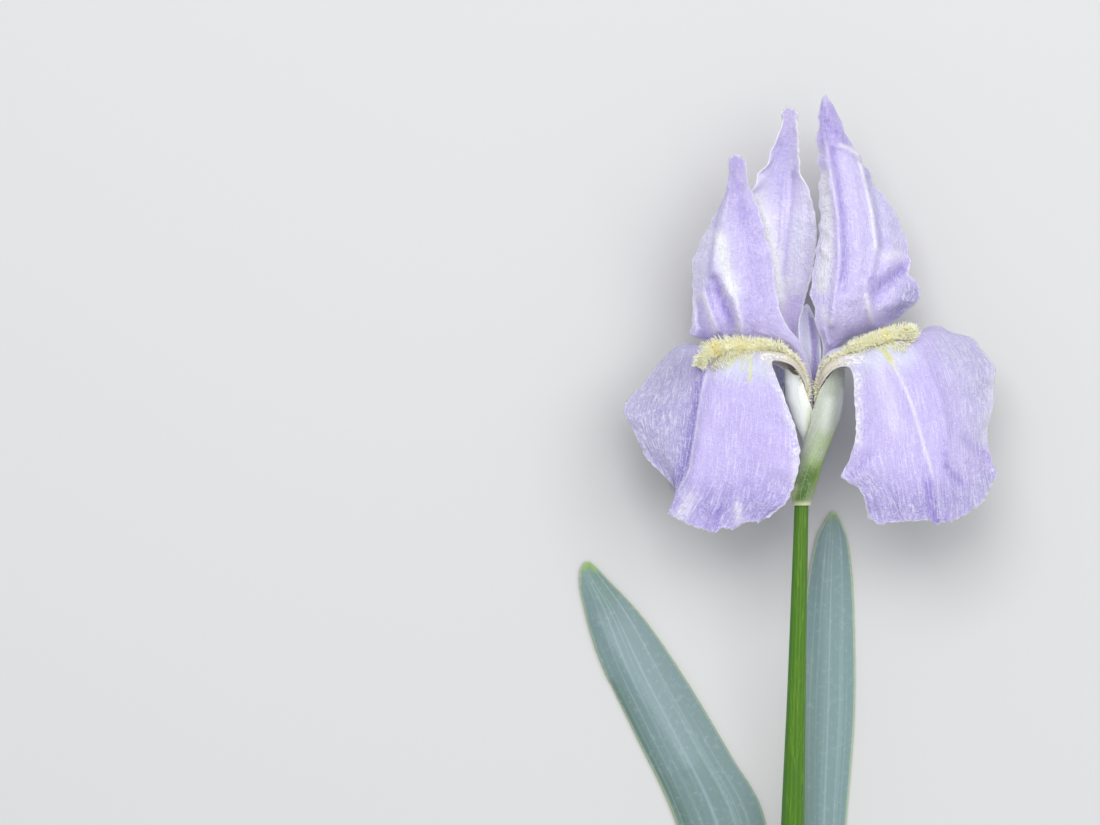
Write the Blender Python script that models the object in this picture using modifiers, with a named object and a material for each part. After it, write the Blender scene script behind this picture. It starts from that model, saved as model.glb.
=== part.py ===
"""A cut bearded iris flower lying on a flat surface: the picked scape with its spathe, three falls with
their beards, three standards, the style arms and stamens inside, and two sword leaves at its foot.

Frame: +Y runs up the flower's axis, +X to its right, +Z straight up from the surface it lies on.
Petals, spathe valves and leaves are thin sheets. Each is a coarse cage of points, five across and one
row per station from its base to its tip, that a grid is fitted through and then thickened.
Cage points are millimetres from the throat, the point where the three falls part. They are given as
they line up for an eye VIEW_HEIGHT above the throat, and their third number is the height above it."""

import math

import bpy
from mathutils import Vector

MM = 0.001

# Driving dimensions, millimetres
THROAT_HEIGHT = 27.9  # the flower's axis over the surface at the throat
VIEW_HEIGHT = 825.0  # the eye that the cages are drawn for, above the throat
VIEW_X, VIEW_Y = -70.7, -3.9  # the point below that eye
PETAL = 0.7  # thickness of a standard or a fall
SPATHE = 0.45  # thickness of a spathe valve
LEAF = 1.2  # thickness of a leaf
CUT_END_Y = -166.0  # where the scape was cut
CUT_RADIUS = 3.7
NODE_Y = -29.3  # where the spathe leaves the scape
TUBE_RIM_Y = -3.6
TUBE_RIM = 3.2  # radius of the perianth tube at its rim
FLOOR = -THROAT_HEIGHT
BLADE_Z = FLOOR + PETAL / 2  # a blade that lies on the surface
LEAF_Z = FLOOR + LEAF / 2


# ---------------------------------------------------------------- helpers


def collection(name):
    """A new collection in the scene."""
    made = bpy.data.collections.new(name)
    bpy.context.scene.collection.children.link(made)
    return made


def material(name, colour, roughness):
    """A plain Principled material."""
    made = bpy.data.materials.new(name)
    made.use_nodes = True
    shader = made.node_tree.nodes["Principled BSDF"]
    shader.inputs["Base Color"].default_value = (*colour, 1.0)
    shader.inputs["Roughness"].default_value = roughness
    return made


def place(x, y, z):
    """The point at height z that an eye at VIEW_HEIGHT sees at x, y on the throat's level."""
    nearer = (VIEW_HEIGHT - z) / VIEW_HEIGHT
    return Vector((VIEW_X + (x - VIEW_X) * nearer, VIEW_Y + (y - VIEW_Y) * nearer, z))


def spline(points, at, slack=()):
    """A smooth curve through the points, read at a value from 0 to len(points) - 1. slack gives a point's
    tangent a factor: under 1 makes a tighter bend there."""
    i = min(int(at), len(points) - 2)
    t = at - i

    def tangent(k):
        before = points[max(k - 1, 0)]
        after = points[min(k + 1, len(points) - 1)]
        reach = 0.5 if 0 < k < len(points) - 1 else 1.0
        return (after - before) * reach * (slack[k] if slack else 1.0)

    a = points[i]
    b = points[i + 1]
    return (
        a * (2 * t**3 - 3 * t**2 + 1)
        + tangent(i) * (t**3 - 2 * t**2 + t)
        + b * (3 * t**2 - 2 * t**3)
        + tangent(i + 1) * (t**3 - t**2)
    )


def finish(obj, group, mat):
    """Names the mesh, gives it its material and moves it from Blender's own collection to the flower's."""
    for owner in list(obj.users_collection):
        owner.objects.unlink(obj)
    group.objects.link(obj)
    obj.data.name = obj.name
    obj.data.materials.clear()
    obj.data.materials.append(mat)
    return obj


def sheet(name, cage, group, mat, thick, cells, slack=()):
    """A thin closed sheet through a cage of points: cells is how many across and along."""
    across, along = cells
    rows = [[place(*p) for p in row] for row in cage]
    bpy.ops.mesh.primitive_grid_add(x_subdivisions=across, y_subdivisions=along, size=2.0)
    obj = bpy.context.object
    obj.name = name
    for vert in obj.data.vertices:
        u = (vert.co.x + 1) / 2 * (len(rows[0]) - 1)
        v = (vert.co.y + 1) / 2 * (len(rows) - 1)
        line = [spline(row, u, slack) for row in rows]
        spot = spline(line, v)
        spot.z = max(spot.z, FLOOR + thick / 2)
        vert.co = spot * MM
    skin = obj.modifiers.new("thickness", "SOLIDIFY")
    skin.thickness = thick * MM
    skin.offset = 0.0
    obj.data.shade_smooth()
    return finish(obj, group, mat)


def tube(name, points, group, mat, sides=2):
    """A rod along (x, y, z, radius) points, closed at both ends."""
    curve = bpy.data.curves.new(name, "CURVE")
    curve.dimensions = "3D"
    curve.bevel_depth = 1.0 * MM
    curve.bevel_resolution = sides
    curve.use_fill_caps = True
    line = curve.splines.new("POLY")
    line.points.add(len(points) - 1)
    for spot, (x, y, z, radius) in zip(line.points, points):
        spot.co = (x * MM, y * MM, z * MM, 1.0)
        spot.radius = radius
    obj = bpy.data.objects.new(name, curve)
    bpy.context.scene.collection.objects.link(obj)
    return finish(obj, group, mat)


def smooth_route(stations, count):
    """count points of the smooth curve through (x, y, z, radius) stations."""
    spots = [place(*s[:3]) for s in stations]
    widths = [Vector((s[3], 0.0, 0.0)) for s in stations]
    route = []
    for k in range(count):
        at = k / (count - 1) * (len(stations) - 1)
        route.append((*spline(spots, at), spline(widths, at).x))
    return route


# ---------------------------------------------------------------- standards, the three upright petals

# The front standard, left of the axis and leaning over the throat: from its left margin to its right one.
FRONT_STANDARD = [
    [(-1.5, -3, 1.6), (-1.2, -3, 1.9), (-0.8, -3, 2.1), (-0.3, -3, 2.2), (0.2, -3, 2.2)],
    [(-2.0, 6, 1.3), (-1.6, 6, 1.8), (-1.1, 6, 1.9), (-0.6, 6, 1.8), (-0.1, 6, 1.4)],
    [(-8.0, 14.7, 1.0), (-6.5, 14.6, 2.3), (-5.0, 14.5, 3.0), (-3.9, 14.5, 2.8), (-3.0, 14.5, 2.0)],
    [(-30.8, 16.4, -4.5), (-23, 17.0, 1.0), (-15.5, 18.0, 3.6), (-10, 18.8, 4.0), (-6.5, 19.2, 2.6)],
    [(-32.8, 20.5, -5), (-27.5, 21.5, 2), (-20.5, 23, 5), (-13.8, 24, 5.6), (-9.0, 25.0, 3.8)],
    [(-32.2, 29.5, -4), (-26.8, 31, 3.6), (-21, 32, 6.4), (-15.2, 34, 7), (-10.4, 35.5, 4.8)],
    [(-31.9, 38.2, -1), (-26.5, 39, 5), (-21.5, 41.5, 7.6), (-16.7, 43, 7.8), (-12.5, 44, 6)],
    [(-26.2, 50, 3), (-23.4, 51, 6.8), (-20.2, 52, 8.6), (-17.4, 52.5, 8.6), (-15.0, 52.5, 7.2)],
    [(-22.9, 58.5, 6.5), (-21.4, 59, 8.3), (-19.8, 59, 9.2), (-18.4, 59, 9.0), (-17.2, 58.5, 8.2)],
    [(-22.2, 64.6, 8.6), (-21.4, 65.5, 9.4), (-20.2, 65.8, 9.8), (-19.0, 65.2, 9.4), (-18.0, 64.2, 8.8)],
]

# The middle standard, behind the front one.
MIDDLE_STANDARD = [
    [(-2.2, -3, -0.3), (-2.1, -3, -0.8), (-1.8, -3, -1.2), (-1.4, -3, -1.6), (-0.9, -3, -2.0)],
    [(-4.6, 8, -2.4), (-4.4, 8, -3.4), (-3.8, 8, -4.2), (-3.0, 8, -4.8), (-2.0, 8, -5.0)],
    [(-8.8, 15, -6.4), (-7.8, 15.6, -7.8), (-6.5, 16.2, -8.5), (-5.0, 16.8, -8.6), (-3.6, 17, -7.8)],
    [(-20, 21, -7.6), (-15, 23, -10.6), (-10, 24.4, -11.8), (-6, 25, -10.8), (-2.4, 24, -8.0)],
    [(-23, 34, -5), (-17, 35, -10), (-11, 36, -12.4), (-5, 36.5, -10.8), (0.5, 36.0, -6.0)],
    [(-22, 46, -2), (-16.5, 47, -7.4), (-11, 48, -9.8), (-5, 47.6, -7.8), (1.3, 46.5, -3.6)],
    [(-17.0, 55.5, 0.6), (-13, 57, -3.6), (-9.2, 58, -5.4), (-5, 58, -4.2), (-1.2, 57.5, -0.6)],
    [(-11.6, 65.5, 1.2), (-9.6, 66.5, -1.2), (-7.4, 67, -2.2), (-5.2, 66.5, -1.0), (-3.1, 65, 1.0)],
    [(-8.9, 72.5, 2.0), (-7.6, 73, 0.6), (-6.2, 73.2, 0.2), (-4.9, 73, 0.8), (-3.6, 72.3, 1.8)],
    [(-8.3, 77.4, 2.8), (-7.3, 78.2, 2.2), (-6.0, 78.6, 2.0), (-4.8, 78.0, 2.2), (-3.6, 77.2, 2.6)],
]

# The right standard, whose left margin rolls towards the eye.
RIGHT_STANDARD = [
    [(2.2, -3, -0.3), (2.1, -3, -0.8), (1.8, -3, -1.2), (1.4, -3, -1.6), (0.9, -3, -2.0)],
    [(2.3, 7, -1.6), (3.0, 7, -1.8), (3.5, 7, -2.4), (3.6, 7, -3.2), (3.0, 7, -4.0)],
    [(2.9, 14.3, -1.4), (4.5, 14.6, -1.0), (6.2, 14.9, -1.4), (7.8, 15.2, -2.8), (9.0, 15.4, -4.8)],
    [(0.7, 21.5, 1.2), (5.2, 21.5, 3.6), (10.2, 21.2, 2.4), (15.8, 21.0, -1.4), (21.5, 20.6, -7)],
    [(-0.3, 28, 0.8), (6.3, 28.5, 5.6), (13, 28, 4.6), (20.6, 27, 0.0), (28.8, 27.5, -7)],
    [(0.5, 36, 0.4), (7.5, 37.5, 6.0), (13.6, 37.5, 5.4), (20.8, 36.5, -0.6), (26.8, 36, -8)],
    [(1.8, 47, 0.6), (7.1, 48, 5.8), (12.6, 48, 5.2), (18.5, 48, 0.2), (24.1, 46.5, -6)],
    [(2.1, 58, 1.0), (5.6, 59, 5.0), (9.6, 59, 4.6), (13.8, 59, 1.2), (17.3, 58.2, -3)],
    [(1.4, 68, 2.0), (3.7, 69, 4.2), (6.4, 69, 3.8), (8.8, 69, 2.2), (11.0, 67.8, 0)],
    [(2.2, 79.6, 2.6), (2.8, 81, 3.4), (3.6, 81.8, 3.4), (4.4, 80.8, 3.2), (5.2, 79.6, 2.4)],
]

STANDARDS = {
    "front_standard": FRONT_STANDARD,
    "middle_standard": MIDDLE_STANDARD,
    "right_standard": RIGHT_STANDARD,
}

# ---------------------------------------------------------------- falls, the three hanging petals

# From the near margin over the ridge that carries the beard to the far margin.
LEFT_FALL = [
    [(-0.5, -3, 3.4), (-1.9, -3, 2.9), (-2.8, -3, 1.9), (-3.3, -3, 0.6), (-3.2, -3, -0.8)],
    [(-1.1, 1.2, 3.6), (-1.6, 3.4, 3.6), (-2.6, 5.2, 3.0), (-4.2, 4.6, 0.8), (-4.6, 3.0, -1.8)],
    [(-2.5, 5.4, 6.0), (-3.1, 8.0, 6.0), (-4.4, 9.9, 4.6), (-6.2, 9.4, 1.2), (-7.4, 7.8, -3.0)],
    [(-5.4, 8.9, 8.6), (-6.4, 10.8, 8.2), (-8.2, 12.2, 5.4), (-9.8, 11.4, 0.6), (-11.0, 9.4, -5.0)],
    [(-10.6, 10.0, 11.0), (-11.4, 11.6, 10.0), (-13.2, 13.0, 6.4), (-14.4, 11.4, -0.8), (-15.4, 8.0, -8.0)],
    [(-9.3, 5.0, 12.2), (-14.0, 10.6, 11.0), (-18.8, 13.6, 6.8), (-20.2, 11.6, -2.4), (-22.0, 8.0, -11)],
    [(-7.0, -1.0, 13.0), (-16, 7.6, 12.8), (-24.4, 13.2, 7.2), (-27.8, 13.6, -2.6), (-31.2, 14.2, -10)],
    [(-4.2, -9, 13.5), (-17.5, 0.5, 14.0), (-29.2, 9.6, 8.6), (-34.3, 12.6, -1.0), (-37.2, 13.4, -8)],
    [(-3.3, -16, 13.5), (-18, -8, 14.6), (-29.8, 0.5, 11.2), (-38, 3.2, 3.0), (-46.2, 3.2, -5)],
    [(-4.6, -23, 13.0), (-18.6, -17, 14.6), (-30.8, -9.5, 12.6), (-40.6, -5, 6.0), (-50.6, -2.6, -1)],
    [(-6.6, -27.6, 12.6), (-20, -26, 14.2), (-32.6, -20.5, 13.6), (-40, -14, 9.0), (-47.2, -10.8, 3)],
    [(-11.8, -32.4, 12.2), (-23.5, -35.6, 13.6), (-38.6, -31.2, 13.4), (-35.6, -26.0, 10.4),
     (-44.6, -16.2, 6)],
]

RIGHT_FALL = [
    [(0.5, -3, 3.4), (1.9, -3, 2.9), (2.8, -3, 1.9), (3.3, -3, 0.6), (3.2, -3, -0.8)],
    [(1.5, 1.2, 3.6), (1.7, 3.4, 3.6), (2.7, 5.2, 3.0), (4.4, 4.6, 0.8), (4.9, 3.0, -1.8)],
    [(3.2, 4.8, 7.6), (3.3, 7.6, 7.2), (4.6, 9.6, 4.8), (6.6, 9.2, 1.2), (7.8, 7.4, -3.0)],
    [(6.2, 7.9, 9.4), (6.8, 9.8, 8.6), (8.6, 11.6, 5.8), (10.6, 11.0, 0.6), (11.8, 9.0, -5.0)],
    [(9.8, 8.4, 11.0), (11.2, 10.6, 10.2), (13.4, 13.0, 6.4), (15.4, 12.2, -0.8), (17.0, 9.0, -8.0)],
    [(11.2, 5.5, 12.4), (15.2, 11.2, 11.8), (18.8, 14.8, 6.8), (21.6, 14.2, -2.4), (24.0, 12.0, -10)],
    [(11.5, -1.0, 13.2), (18, 8.6, 13.6), (24.2, 16.4, 7.2), (28.2, 17.4, -2.0), (31.0, 19.0, -9)],
    [(11.9, -9.0, 13.6), (20.6, 3.0, 14.4), (28.8, 14.6, 7.8), (34.8, 17.4, 0), (39.6, 17.3, -7)],
    [(10.2, -16.6, 13.6), (22, -5, 14.8), (33.2, 4.0, 10.6), (41, 9.6, 3.0), (47.8, 11.2, -4)],
    [(8.0, -21.2, 13.4), (22.8, -14.5, 14.8), (35.6, -7, 12.4), (43.2, -2.4, 6.0), (49.2, 1.0, 0)],
    [(13.0, -25.0, 13.2), (24.6, -24.5, 14.6), (36.6, -19, 13.4), (43.6, -15.5, 8.4), (47.4, -11, 3)],
    [(15.4, -32.8, 13.0), (26.6, -33.8, 14.2), (37.4, -33.2, 13.2), (45.2, -28.8, 9.8), (50.0, -19.6, 6)],
]

# The back fall hangs behind the left one, down to the surface, and its blade lies flat there.
BACK_FALL = [
    [(-2.6, -3, -2.2), (-1.5, -3, -3.0), (0.0, -3, -3.4), (1.5, -3, -3.0), (2.6, -3, -2.2)],
    [(-5.2, 4.2, -6.2), (-3.6, 5.2, -7.6), (-1.8, 5.6, -8.4), (0.2, 5.2, -8.2), (1.8, 4.4, -7.4)],
    [(-9.4, 9.0, -11.4), (-7.4, 10.6, -12.0), (-5.2, 11.4, -12.6), (-3.4, 11.0, -12.8), (-2.2, 9.6, -12.6)],
    [(-16.6, 11, -17), (-13.4, 13.0, -16.6), (-10, 13.8, -17), (-7.6, 12.8, -17.6), (-5.6, 11.0, -17.8)],
    [(-28, 9.0, -22.6), (-22, 11.4, -21.8), (-15.6, 12, -21.8), (-11, 10.4, -22.4), (-6.9, 7.6, -22.8)],
    [(-37.5, -0.5, BLADE_Z), (-29, 3.4, -26.2), (-19.6, 4.6, -25.6), (-13, 3.6, -26.2), (-7.5, 1, BLADE_Z)],
    [(-41, -12, BLADE_Z), (-31, -10, BLADE_Z), (-21.4, -9, BLADE_Z), (-14, -9, BLADE_Z),
     (-7.6, -10, BLADE_Z)],
    [(-38, -23, BLADE_Z), (-30, -23, BLADE_Z), (-22, -23, BLADE_Z), (-15, -22, BLADE_Z),
     (-8, -20, BLADE_Z)],
    [(-31, -30, BLADE_Z), (-28, -32, BLADE_Z), (-23, -33, BLADE_Z), (-17.6, -31.6, BLADE_Z),
     (-12, -28, BLADE_Z)],
]

FALLS = {"left_fall": LEFT_FALL, "right_fall": RIGHT_FALL, "back_fall": BACK_FALL}

# A beard is a row of short hairs on the fall's ridge: its core, as (x, y, z, radius).
BEARDS = {
    "left_beard": [
        (-9.5, 14.3, 7.0, 0.7), (-15, 15.4, 7.6, 1.2), (-20.5, 15.9, 8.0, 1.3),
        (-26, 15.0, 8.8, 1.2), (-31.0, 10.0, 10.2, 0.8),
    ],
    "right_beard": [
        (10.2, 14.0, 7.0, 0.7), (14.5, 16.0, 7.8, 1.2), (19.5, 18.0, 8.2, 1.3),
        (24.5, 19.0, 8.6, 1.2), (29.0, 18.0, 9.2, 0.8),
    ],
    "back_beard": [
        (-5.0, 13.3, -13.4, 0.7), (-9.6, 15.7, -18.0, 1.0), (-15.4, 13.9, -23.3, 1.0),
        (-18.0, 9.8, -25.4, 0.7),
    ],
}

# ---------------------------------------------------------------- spathe, tube, ovary and scape

# The spathe's outline: y, centre x, half width and half depth.
ENVELOPE = [
    (-29.0, -2.8, 2.3, 2.3), (-26.5, -2.8, 2.9, 2.9), (-23.0, -1.65, 2.9, 2.9), (-18.0, -0.2, 2.9, 2.9),
    (-12.0, 1.0, 3.9, 3.5), (-8.0, 1.35, 5.3, 4.3), (-4.0, 1.35, 6.6, 5.1), (0.0, 0.9, 7.8, 5.5),
    (9.0, 0.8, 7.9, 5.7),
]
VALVE_COLUMNS, VALVE_ROWS = 9, 10
INNER_INSET = 0.85  # the inner valve lies this far inside the outer one
INNER_BULGE = 0.45  # and leans this far out to the left above


def envelope(y):
    """Centre x, half width and half depth of the spathe at y."""
    for low, high in zip(ENVELOPE, ENVELOPE[1:]):
        if y <= high[0]:
            break
    t = (y - low[0]) / (high[0] - low[0])
    return [a + (b - a) * t for a, b in zip(low[1:], high[1:])]


def along(values, t):
    """The value at t, from 0 to 1, of an evenly spaced list joined by straight lines."""
    at = t * (len(values) - 1)
    i = min(int(at), len(values) - 2)
    return values[i] + (values[i + 1] - values[i]) * (at - i)


def valve_cage(base_y, tops, starts, ends, inset, bulge):
    """Rows of a spathe valve. An angle is 0 towards the eye and 90 to the right. tops is the valve's upper
    margin across it, and starts and ends are its two side margins from base to top."""
    rows = []
    for r in range(VALVE_ROWS):
        v = r / (VALVE_ROWS - 1)
        row = []
        for c in range(VALVE_COLUMNS):
            u = c / (VALVE_COLUMNS - 1)
            y = base_y + (along(tops, u) - base_y) * v
            angle = math.radians(along(starts, v) + (along(ends, v) - along(starts, v)) * u)
            centre, wide, deep = envelope(y)
            out = bulge * min(max((y + 12.0) / 6.0, 0.0), 1.0)
            x = centre - out + (wide - inset + out) * math.sin(angle)
            row.append((x, y, (deep - inset) * math.cos(angle) - stem_drop(y)))
        rows.append(row)
    return rows


def stem_drop(y):
    """How far the scape's middle lies below the throat's level at y. It comes down in a slow curve."""
    if y > -10.0:
        return 0.0
    reach = (y + 10.0) / (CUT_END_Y + 10.0)
    return (THROAT_HEIGHT - CUT_RADIUS) * (0.55 * reach + 0.45 * reach * reach)


# Inside the spathe: (x, y, z, radius)
OVARY = [(-2.6, -28.6, -stem_drop(-28.6), 1.2), (-1.65, -23, -stem_drop(-23), 1.5),
         (-0.2, -18, -stem_drop(-18), 1.2), (0.35, -15.3, -stem_drop(-15.3), 1.1)]
PERIANTH_TUBE = [(0.4, -15, -stem_drop(-15), 1.1), (0.8, -10.5, 0, 1.5), (0.3, -6, 0, 2.4),
                 (0, TUBE_RIM_Y, 0, TUBE_RIM)]


def outer_spathe():
    """The right, outer valve. It wraps right round the scape below and opens on the left above."""
    tops = [-4.2, 2.0, 6.2, 8.4, 8.2, 7.0, 4.0, -0.5, -5.0]
    starts = [-168, -168, -168, -150, -110, -74, -50, -32, -20, -12]
    ends = [168, 168, 168, 168, 166, 164, 162, 160, 160, 160]
    return valve_cage(NODE_Y + 0.3, tops, starts, ends, 0.0, 0.0)


def inner_spathe():
    """The left, inner valve, inside the outer one's margins."""
    tops = [-4.8, 5.0, 6.6, 8.0, 7.6, 5.0, -1.6, -4.4, -6.0]
    starts = [-10, -8, -6, -4, -2, 0, 0, 0, 0, -4]
    ends = [-190, -190, -190, -190, -188, -186, -184, -182, -180, -180]
    return valve_cage(-17.0, tops, starts, ends, INNER_INSET, INNER_BULGE)


def scape():
    """The flower's stalk, from the cut end to the spathe, a little bowed, with its (x, y, z, radius)."""
    seen_x = [(-166.0, -6.6, CUT_RADIUS), (-115.0, -5.2, 3.15), (-80.0, -4.2, 2.5), (-50.0, -3.4, 2.1),
              (NODE_Y - 0.4, -2.85, 1.9)]
    return [(x, y, -stem_drop(y), radius) for y, x, radius in seen_x]


# ---------------------------------------------------------------- leaves

LEFT_LEAF = [
    [(-17.0, -163, LEAF_Z), (-15.4, -164, LEAF_Z), (-13.9, -165, LEAF_Z), (-12.4, -165.6, LEAF_Z + 0.5),
     (-10.3, -166, LEAF_Z + 1.4)],
    [(-27.5, -141, LEAF_Z), (-22.8, -142, LEAF_Z), (-18.2, -143, LEAF_Z), (-14.0, -144, LEAF_Z),
     (-10.8, -145, LEAF_Z)],
    [(-38, -111, LEAF_Z), (-32.8, -112, LEAF_Z + 1.2), (-27, -113, LEAF_Z + 1.6), (-20, -114, LEAF_Z + 1.2),
     (-12.8, -114, LEAF_Z)],
    [(-48, -90, LEAF_Z), (-42, -92, LEAF_Z + 1.4), (-36, -93.6, LEAF_Z + 1.8), (-29.6, -95.6, LEAF_Z + 1.4),
     (-22, -96.4, LEAF_Z)],
    [(-57.4, -70, LEAF_Z), (-51.6, -72, LEAF_Z + 1.2), (-46, -74, LEAF_Z + 1.6), (-40.6, -76, LEAF_Z + 1.2),
     (-34.4, -75.6, LEAF_Z)],
    [(-62, -54, LEAF_Z), (-57.6, -56, LEAF_Z + 0.7), (-53.4, -58, LEAF_Z + 0.9),
     (-49.6, -59.6, LEAF_Z + 0.7),
     (-45.4, -59.6, LEAF_Z)],
    [(-62.7, -47.4, LEAF_Z), (-61.2, -47.6, LEAF_Z), (-59.4, -48, LEAF_Z), (-57.6, -48, LEAF_Z),
     (-56.0, -48, LEAF_Z)],
    [(-61.9, -44.9, LEAF_Z), (-61.4, -44.4, LEAF_Z), (-60.7, -44.1, LEAF_Z), (-60.0, -44.2, LEAF_Z),
     (-59.4, -44.6, LEAF_Z)],
]

RIGHT_LEAF = [
    [(-2.95, -166, LEAF_Z + 1.4), (-0.9, -165.6, LEAF_Z + 0.5), (1.4, -165, LEAF_Z), (2.8, -164, LEAF_Z),
     (4.2, -163, LEAF_Z)],
    [(-2.4, -145, LEAF_Z), (0.0, -145, LEAF_Z), (2.4, -145, LEAF_Z), (4.9, -145, LEAF_Z),
     (7.2, -144, LEAF_Z)],
    [(-3.6, -115, LEAF_Z), (-0.4, -115, LEAF_Z + 0.8), (2.8, -115, LEAF_Z + 1.2), (6.2, -115, LEAF_Z + 0.8),
     (9.2, -114, LEAF_Z)],
    [(-3.6, -84, LEAF_Z), (0, -84, LEAF_Z + 1.0), (4, -84, LEAF_Z + 1.4), (7.8, -84, LEAF_Z + 1.0),
     (11.4, -84, LEAF_Z)],
    [(-1.6, -55, LEAF_Z), (1.6, -55, LEAF_Z + 0.9), (4.8, -55, LEAF_Z + 1.2), (8, -55, LEAF_Z + 0.9),
     (11.1, -55, LEAF_Z)],
    [(0.8, -40, LEAF_Z), (3.0, -40, LEAF_Z + 0.5), (5.3, -40, LEAF_Z + 0.7), (7.6, -40, LEAF_Z + 0.5),
     (9.8, -40, LEAF_Z)],
    [(2.9, -34.4, LEAF_Z), (4.2, -34, LEAF_Z), (5.6, -33.8, LEAF_Z), (7.0, -34, LEAF_Z),
     (8.2, -34.4, LEAF_Z)],
    [(4.6, -31.6, LEAF_Z), (5.1, -31, LEAF_Z), (5.7, -30.8, LEAF_Z), (6.3, -31, LEAF_Z),
     (6.9, -31.6, LEAF_Z)],
]

# ---------------------------------------------------------------- style arms and stamens

STYLE_ARMS = {
    "left_style_arm": [
        [(-0.8, -3, 0.9), (-1.0, -3, 0.6), (-1.1, -3, 0.3), (-1.1, -3, 0.0), (-1.0, -3, -0.4)],
        [(-2.1, 6.2, 0.4), (-2.6, 7.0, 0.2), (-3.0, 7.4, -0.2), (-3.0, 7.0, -0.8), (-2.8, 6.2, -1.3)],
        [(-4.6, 11.0, 0.7), (-5.0, 11.9, 0.1), (-5.3, 12.2, -0.7), (-5.4, 11.8, -1.5), (-5.4, 11.0, -2.3)],
        [(-9.6, 13.0, -0.1), (-9.9, 13.6, -0.8), (-10.1, 13.8, -1.6), (-10.1, 13.4, -2.5),
         (-10.0, 12.6, -3.3)],
    ],
    "right_style_arm": [
        [(0.8, -3, 0.9), (1.0, -3, 0.6), (1.1, -3, 0.3), (1.1, -3, 0.0), (1.0, -3, -0.4)],
        [(1.3, 6.2, 1.8), (1.9, 7.2, 1.5), (2.3, 7.8, 0.9), (2.4, 7.6, 0.1), (2.2, 6.8, -0.5)],
        [(3.6, 11.0, 2.2), (4.2, 12.0, 1.8), (4.6, 12.4, 1.1), (4.8, 12.0, 0.4), (4.8, 11.2, -0.2)],
        [(8.6, 13.0, 2.2), (9.0, 13.8, 1.7), (9.3, 14.1, 0.9), (9.5, 13.8, 0.1), (9.6, 13.0, -0.7)],
    ],
    "middle_style_arm": [
        [(-0.5, -3, -0.8), (-0.3, -3, -1.0), (0.0, -3, -1.1), (0.3, -3, -1.0), (0.5, -3, -0.8)],
        [(-1.9, 8, -1.6), (-1.0, 8, -2.2), (0.0, 8, -2.5), (0.9, 8, -2.2), (1.7, 8, -1.6)],
        [(-2.6, 15, -3.4), (-1.4, 15, -4.4), (-0.1, 15, -4.8), (1.0, 15, -4.4), (1.9, 15, -3.4)],
        [(-2.8, 20.5, -4.2), (-1.9, 20.7, -5.2), (-0.9, 21, -5.6), (0.0, 20.9, -5.2), (0.7, 20.4, -4.2)],
        [(-2.2, 24.2, -4.4), (-1.8, 24.7, -4.9), (-1.5, 25, -5.1), (-1.1, 24.9, -4.9), (-0.8, 24.3, -4.4)],
    ],
}

# A stamen is a filament from the tube's rim and an anther: (x, y, z, radius).
STAMENS = {
    "left_stamen": [(-1.9, -3, 1.0, 0.3), (-2.9, 3.4, 0.7, 0.3), (-3.7, 6.4, 0.3, 0.4),
                    (-5.0, 8.9, -0.4, 0.5)],
    "right_stamen": [(1.8, -3, 1.2, 0.3), (2.4, 3.8, 1.3, 0.3), (3.9, 7.5, 1.3, 0.4),
                     (6.0, 10.6, 0.8, 0.5)],
    "back_stamen": [(0.0, -3, -2.2, 0.3), (-0.4, 4.0, -4.6, 0.3), (-0.8, 9.0, -7.6, 0.5),
                    (-2.4, 13.2, -10.4, 0.5)],
}


def build():
    flower = collection("iris_flower")
    petal = material("petal_lavender", (0.56, 0.48, 0.86), 0.6)
    hairs = material("beard_hairs", (0.86, 0.78, 0.30), 0.8)
    bract = material("spathe_papery", (0.60, 0.68, 0.56), 0.6)
    green = material("stem_green", (0.10, 0.27, 0.04), 0.5)
    blue_green = material("leaf_glaucous", (0.28, 0.40, 0.39), 0.6)
    pollen = material("anther_cream", (0.80, 0.76, 0.62), 0.8)

    for name, cage in STANDARDS.items():
        sheet(name, cage, flower, petal, PETAL, (12, 24), (1, 0.8, 1, 0.8, 1))
    for name, cage in FALLS.items():
        sheet(name, cage, flower, petal, PETAL, (14, 26), (1, 1, 0.6, 1, 1))
    for name, cage in STYLE_ARMS.items():
        sheet(name, cage, flower, petal, SPATHE, (6, 10))
    for name, stations in BEARDS.items():
        tube(name, smooth_route(stations, 14), flower, hairs)
    for name, stations in STAMENS.items():
        tube(name, smooth_route(stations, 9), flower, pollen, 1)

    sheet("outer_spathe", outer_spathe(), flower, bract, SPATHE, (18, 18))
    sheet("inner_spathe", inner_spathe(), flower, bract, SPATHE, (14, 14))
    tube("perianth_tube", smooth_route(PERIANTH_TUBE, 8), flower, bract)
    tube("ovary", smooth_route(OVARY, 8), flower, green)
    tube("stem", smooth_route(scape(), 24), flower, green)
    sheet("left_leaf", LEFT_LEAF, flower, blue_green, LEAF, (8, 24))
    sheet("right_leaf", RIGHT_LEAF, flower, blue_green, LEAF, (8, 24))
    stand(flower)


def stand(group):
    """Moves the whole flower so that the origin is below the middle of its box, on the surface."""
    bpy.context.view_layer.update()
    graph = bpy.context.evaluated_depsgraph_get()
    corners = []
    for obj in group.objects:
        shape = obj.evaluated_get(graph)
        mesh = shape.to_mesh()
        corners += [obj.matrix_world @ v.co for v in mesh.vertices]
        shape.to_mesh_clear()
    low = Vector([min(c[i] for c in corners) for i in range(3)])
    high = Vector([max(c[i] for c in corners) for i in range(3)])
    print("box in mm", [round(v / MM, 2) for v in (*low, *high)])
    shift = Vector((-(low.x + high.x) / 2, -(low.y + high.y) / 2, -low.z))
    for obj in group.objects:
        obj.location = obj.location + shift
    print("throat at", [round(v / MM, 3) for v in shift])


for old in list(bpy.data.objects):
    bpy.data.objects.remove(old, do_unlink=True)
build()
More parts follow.
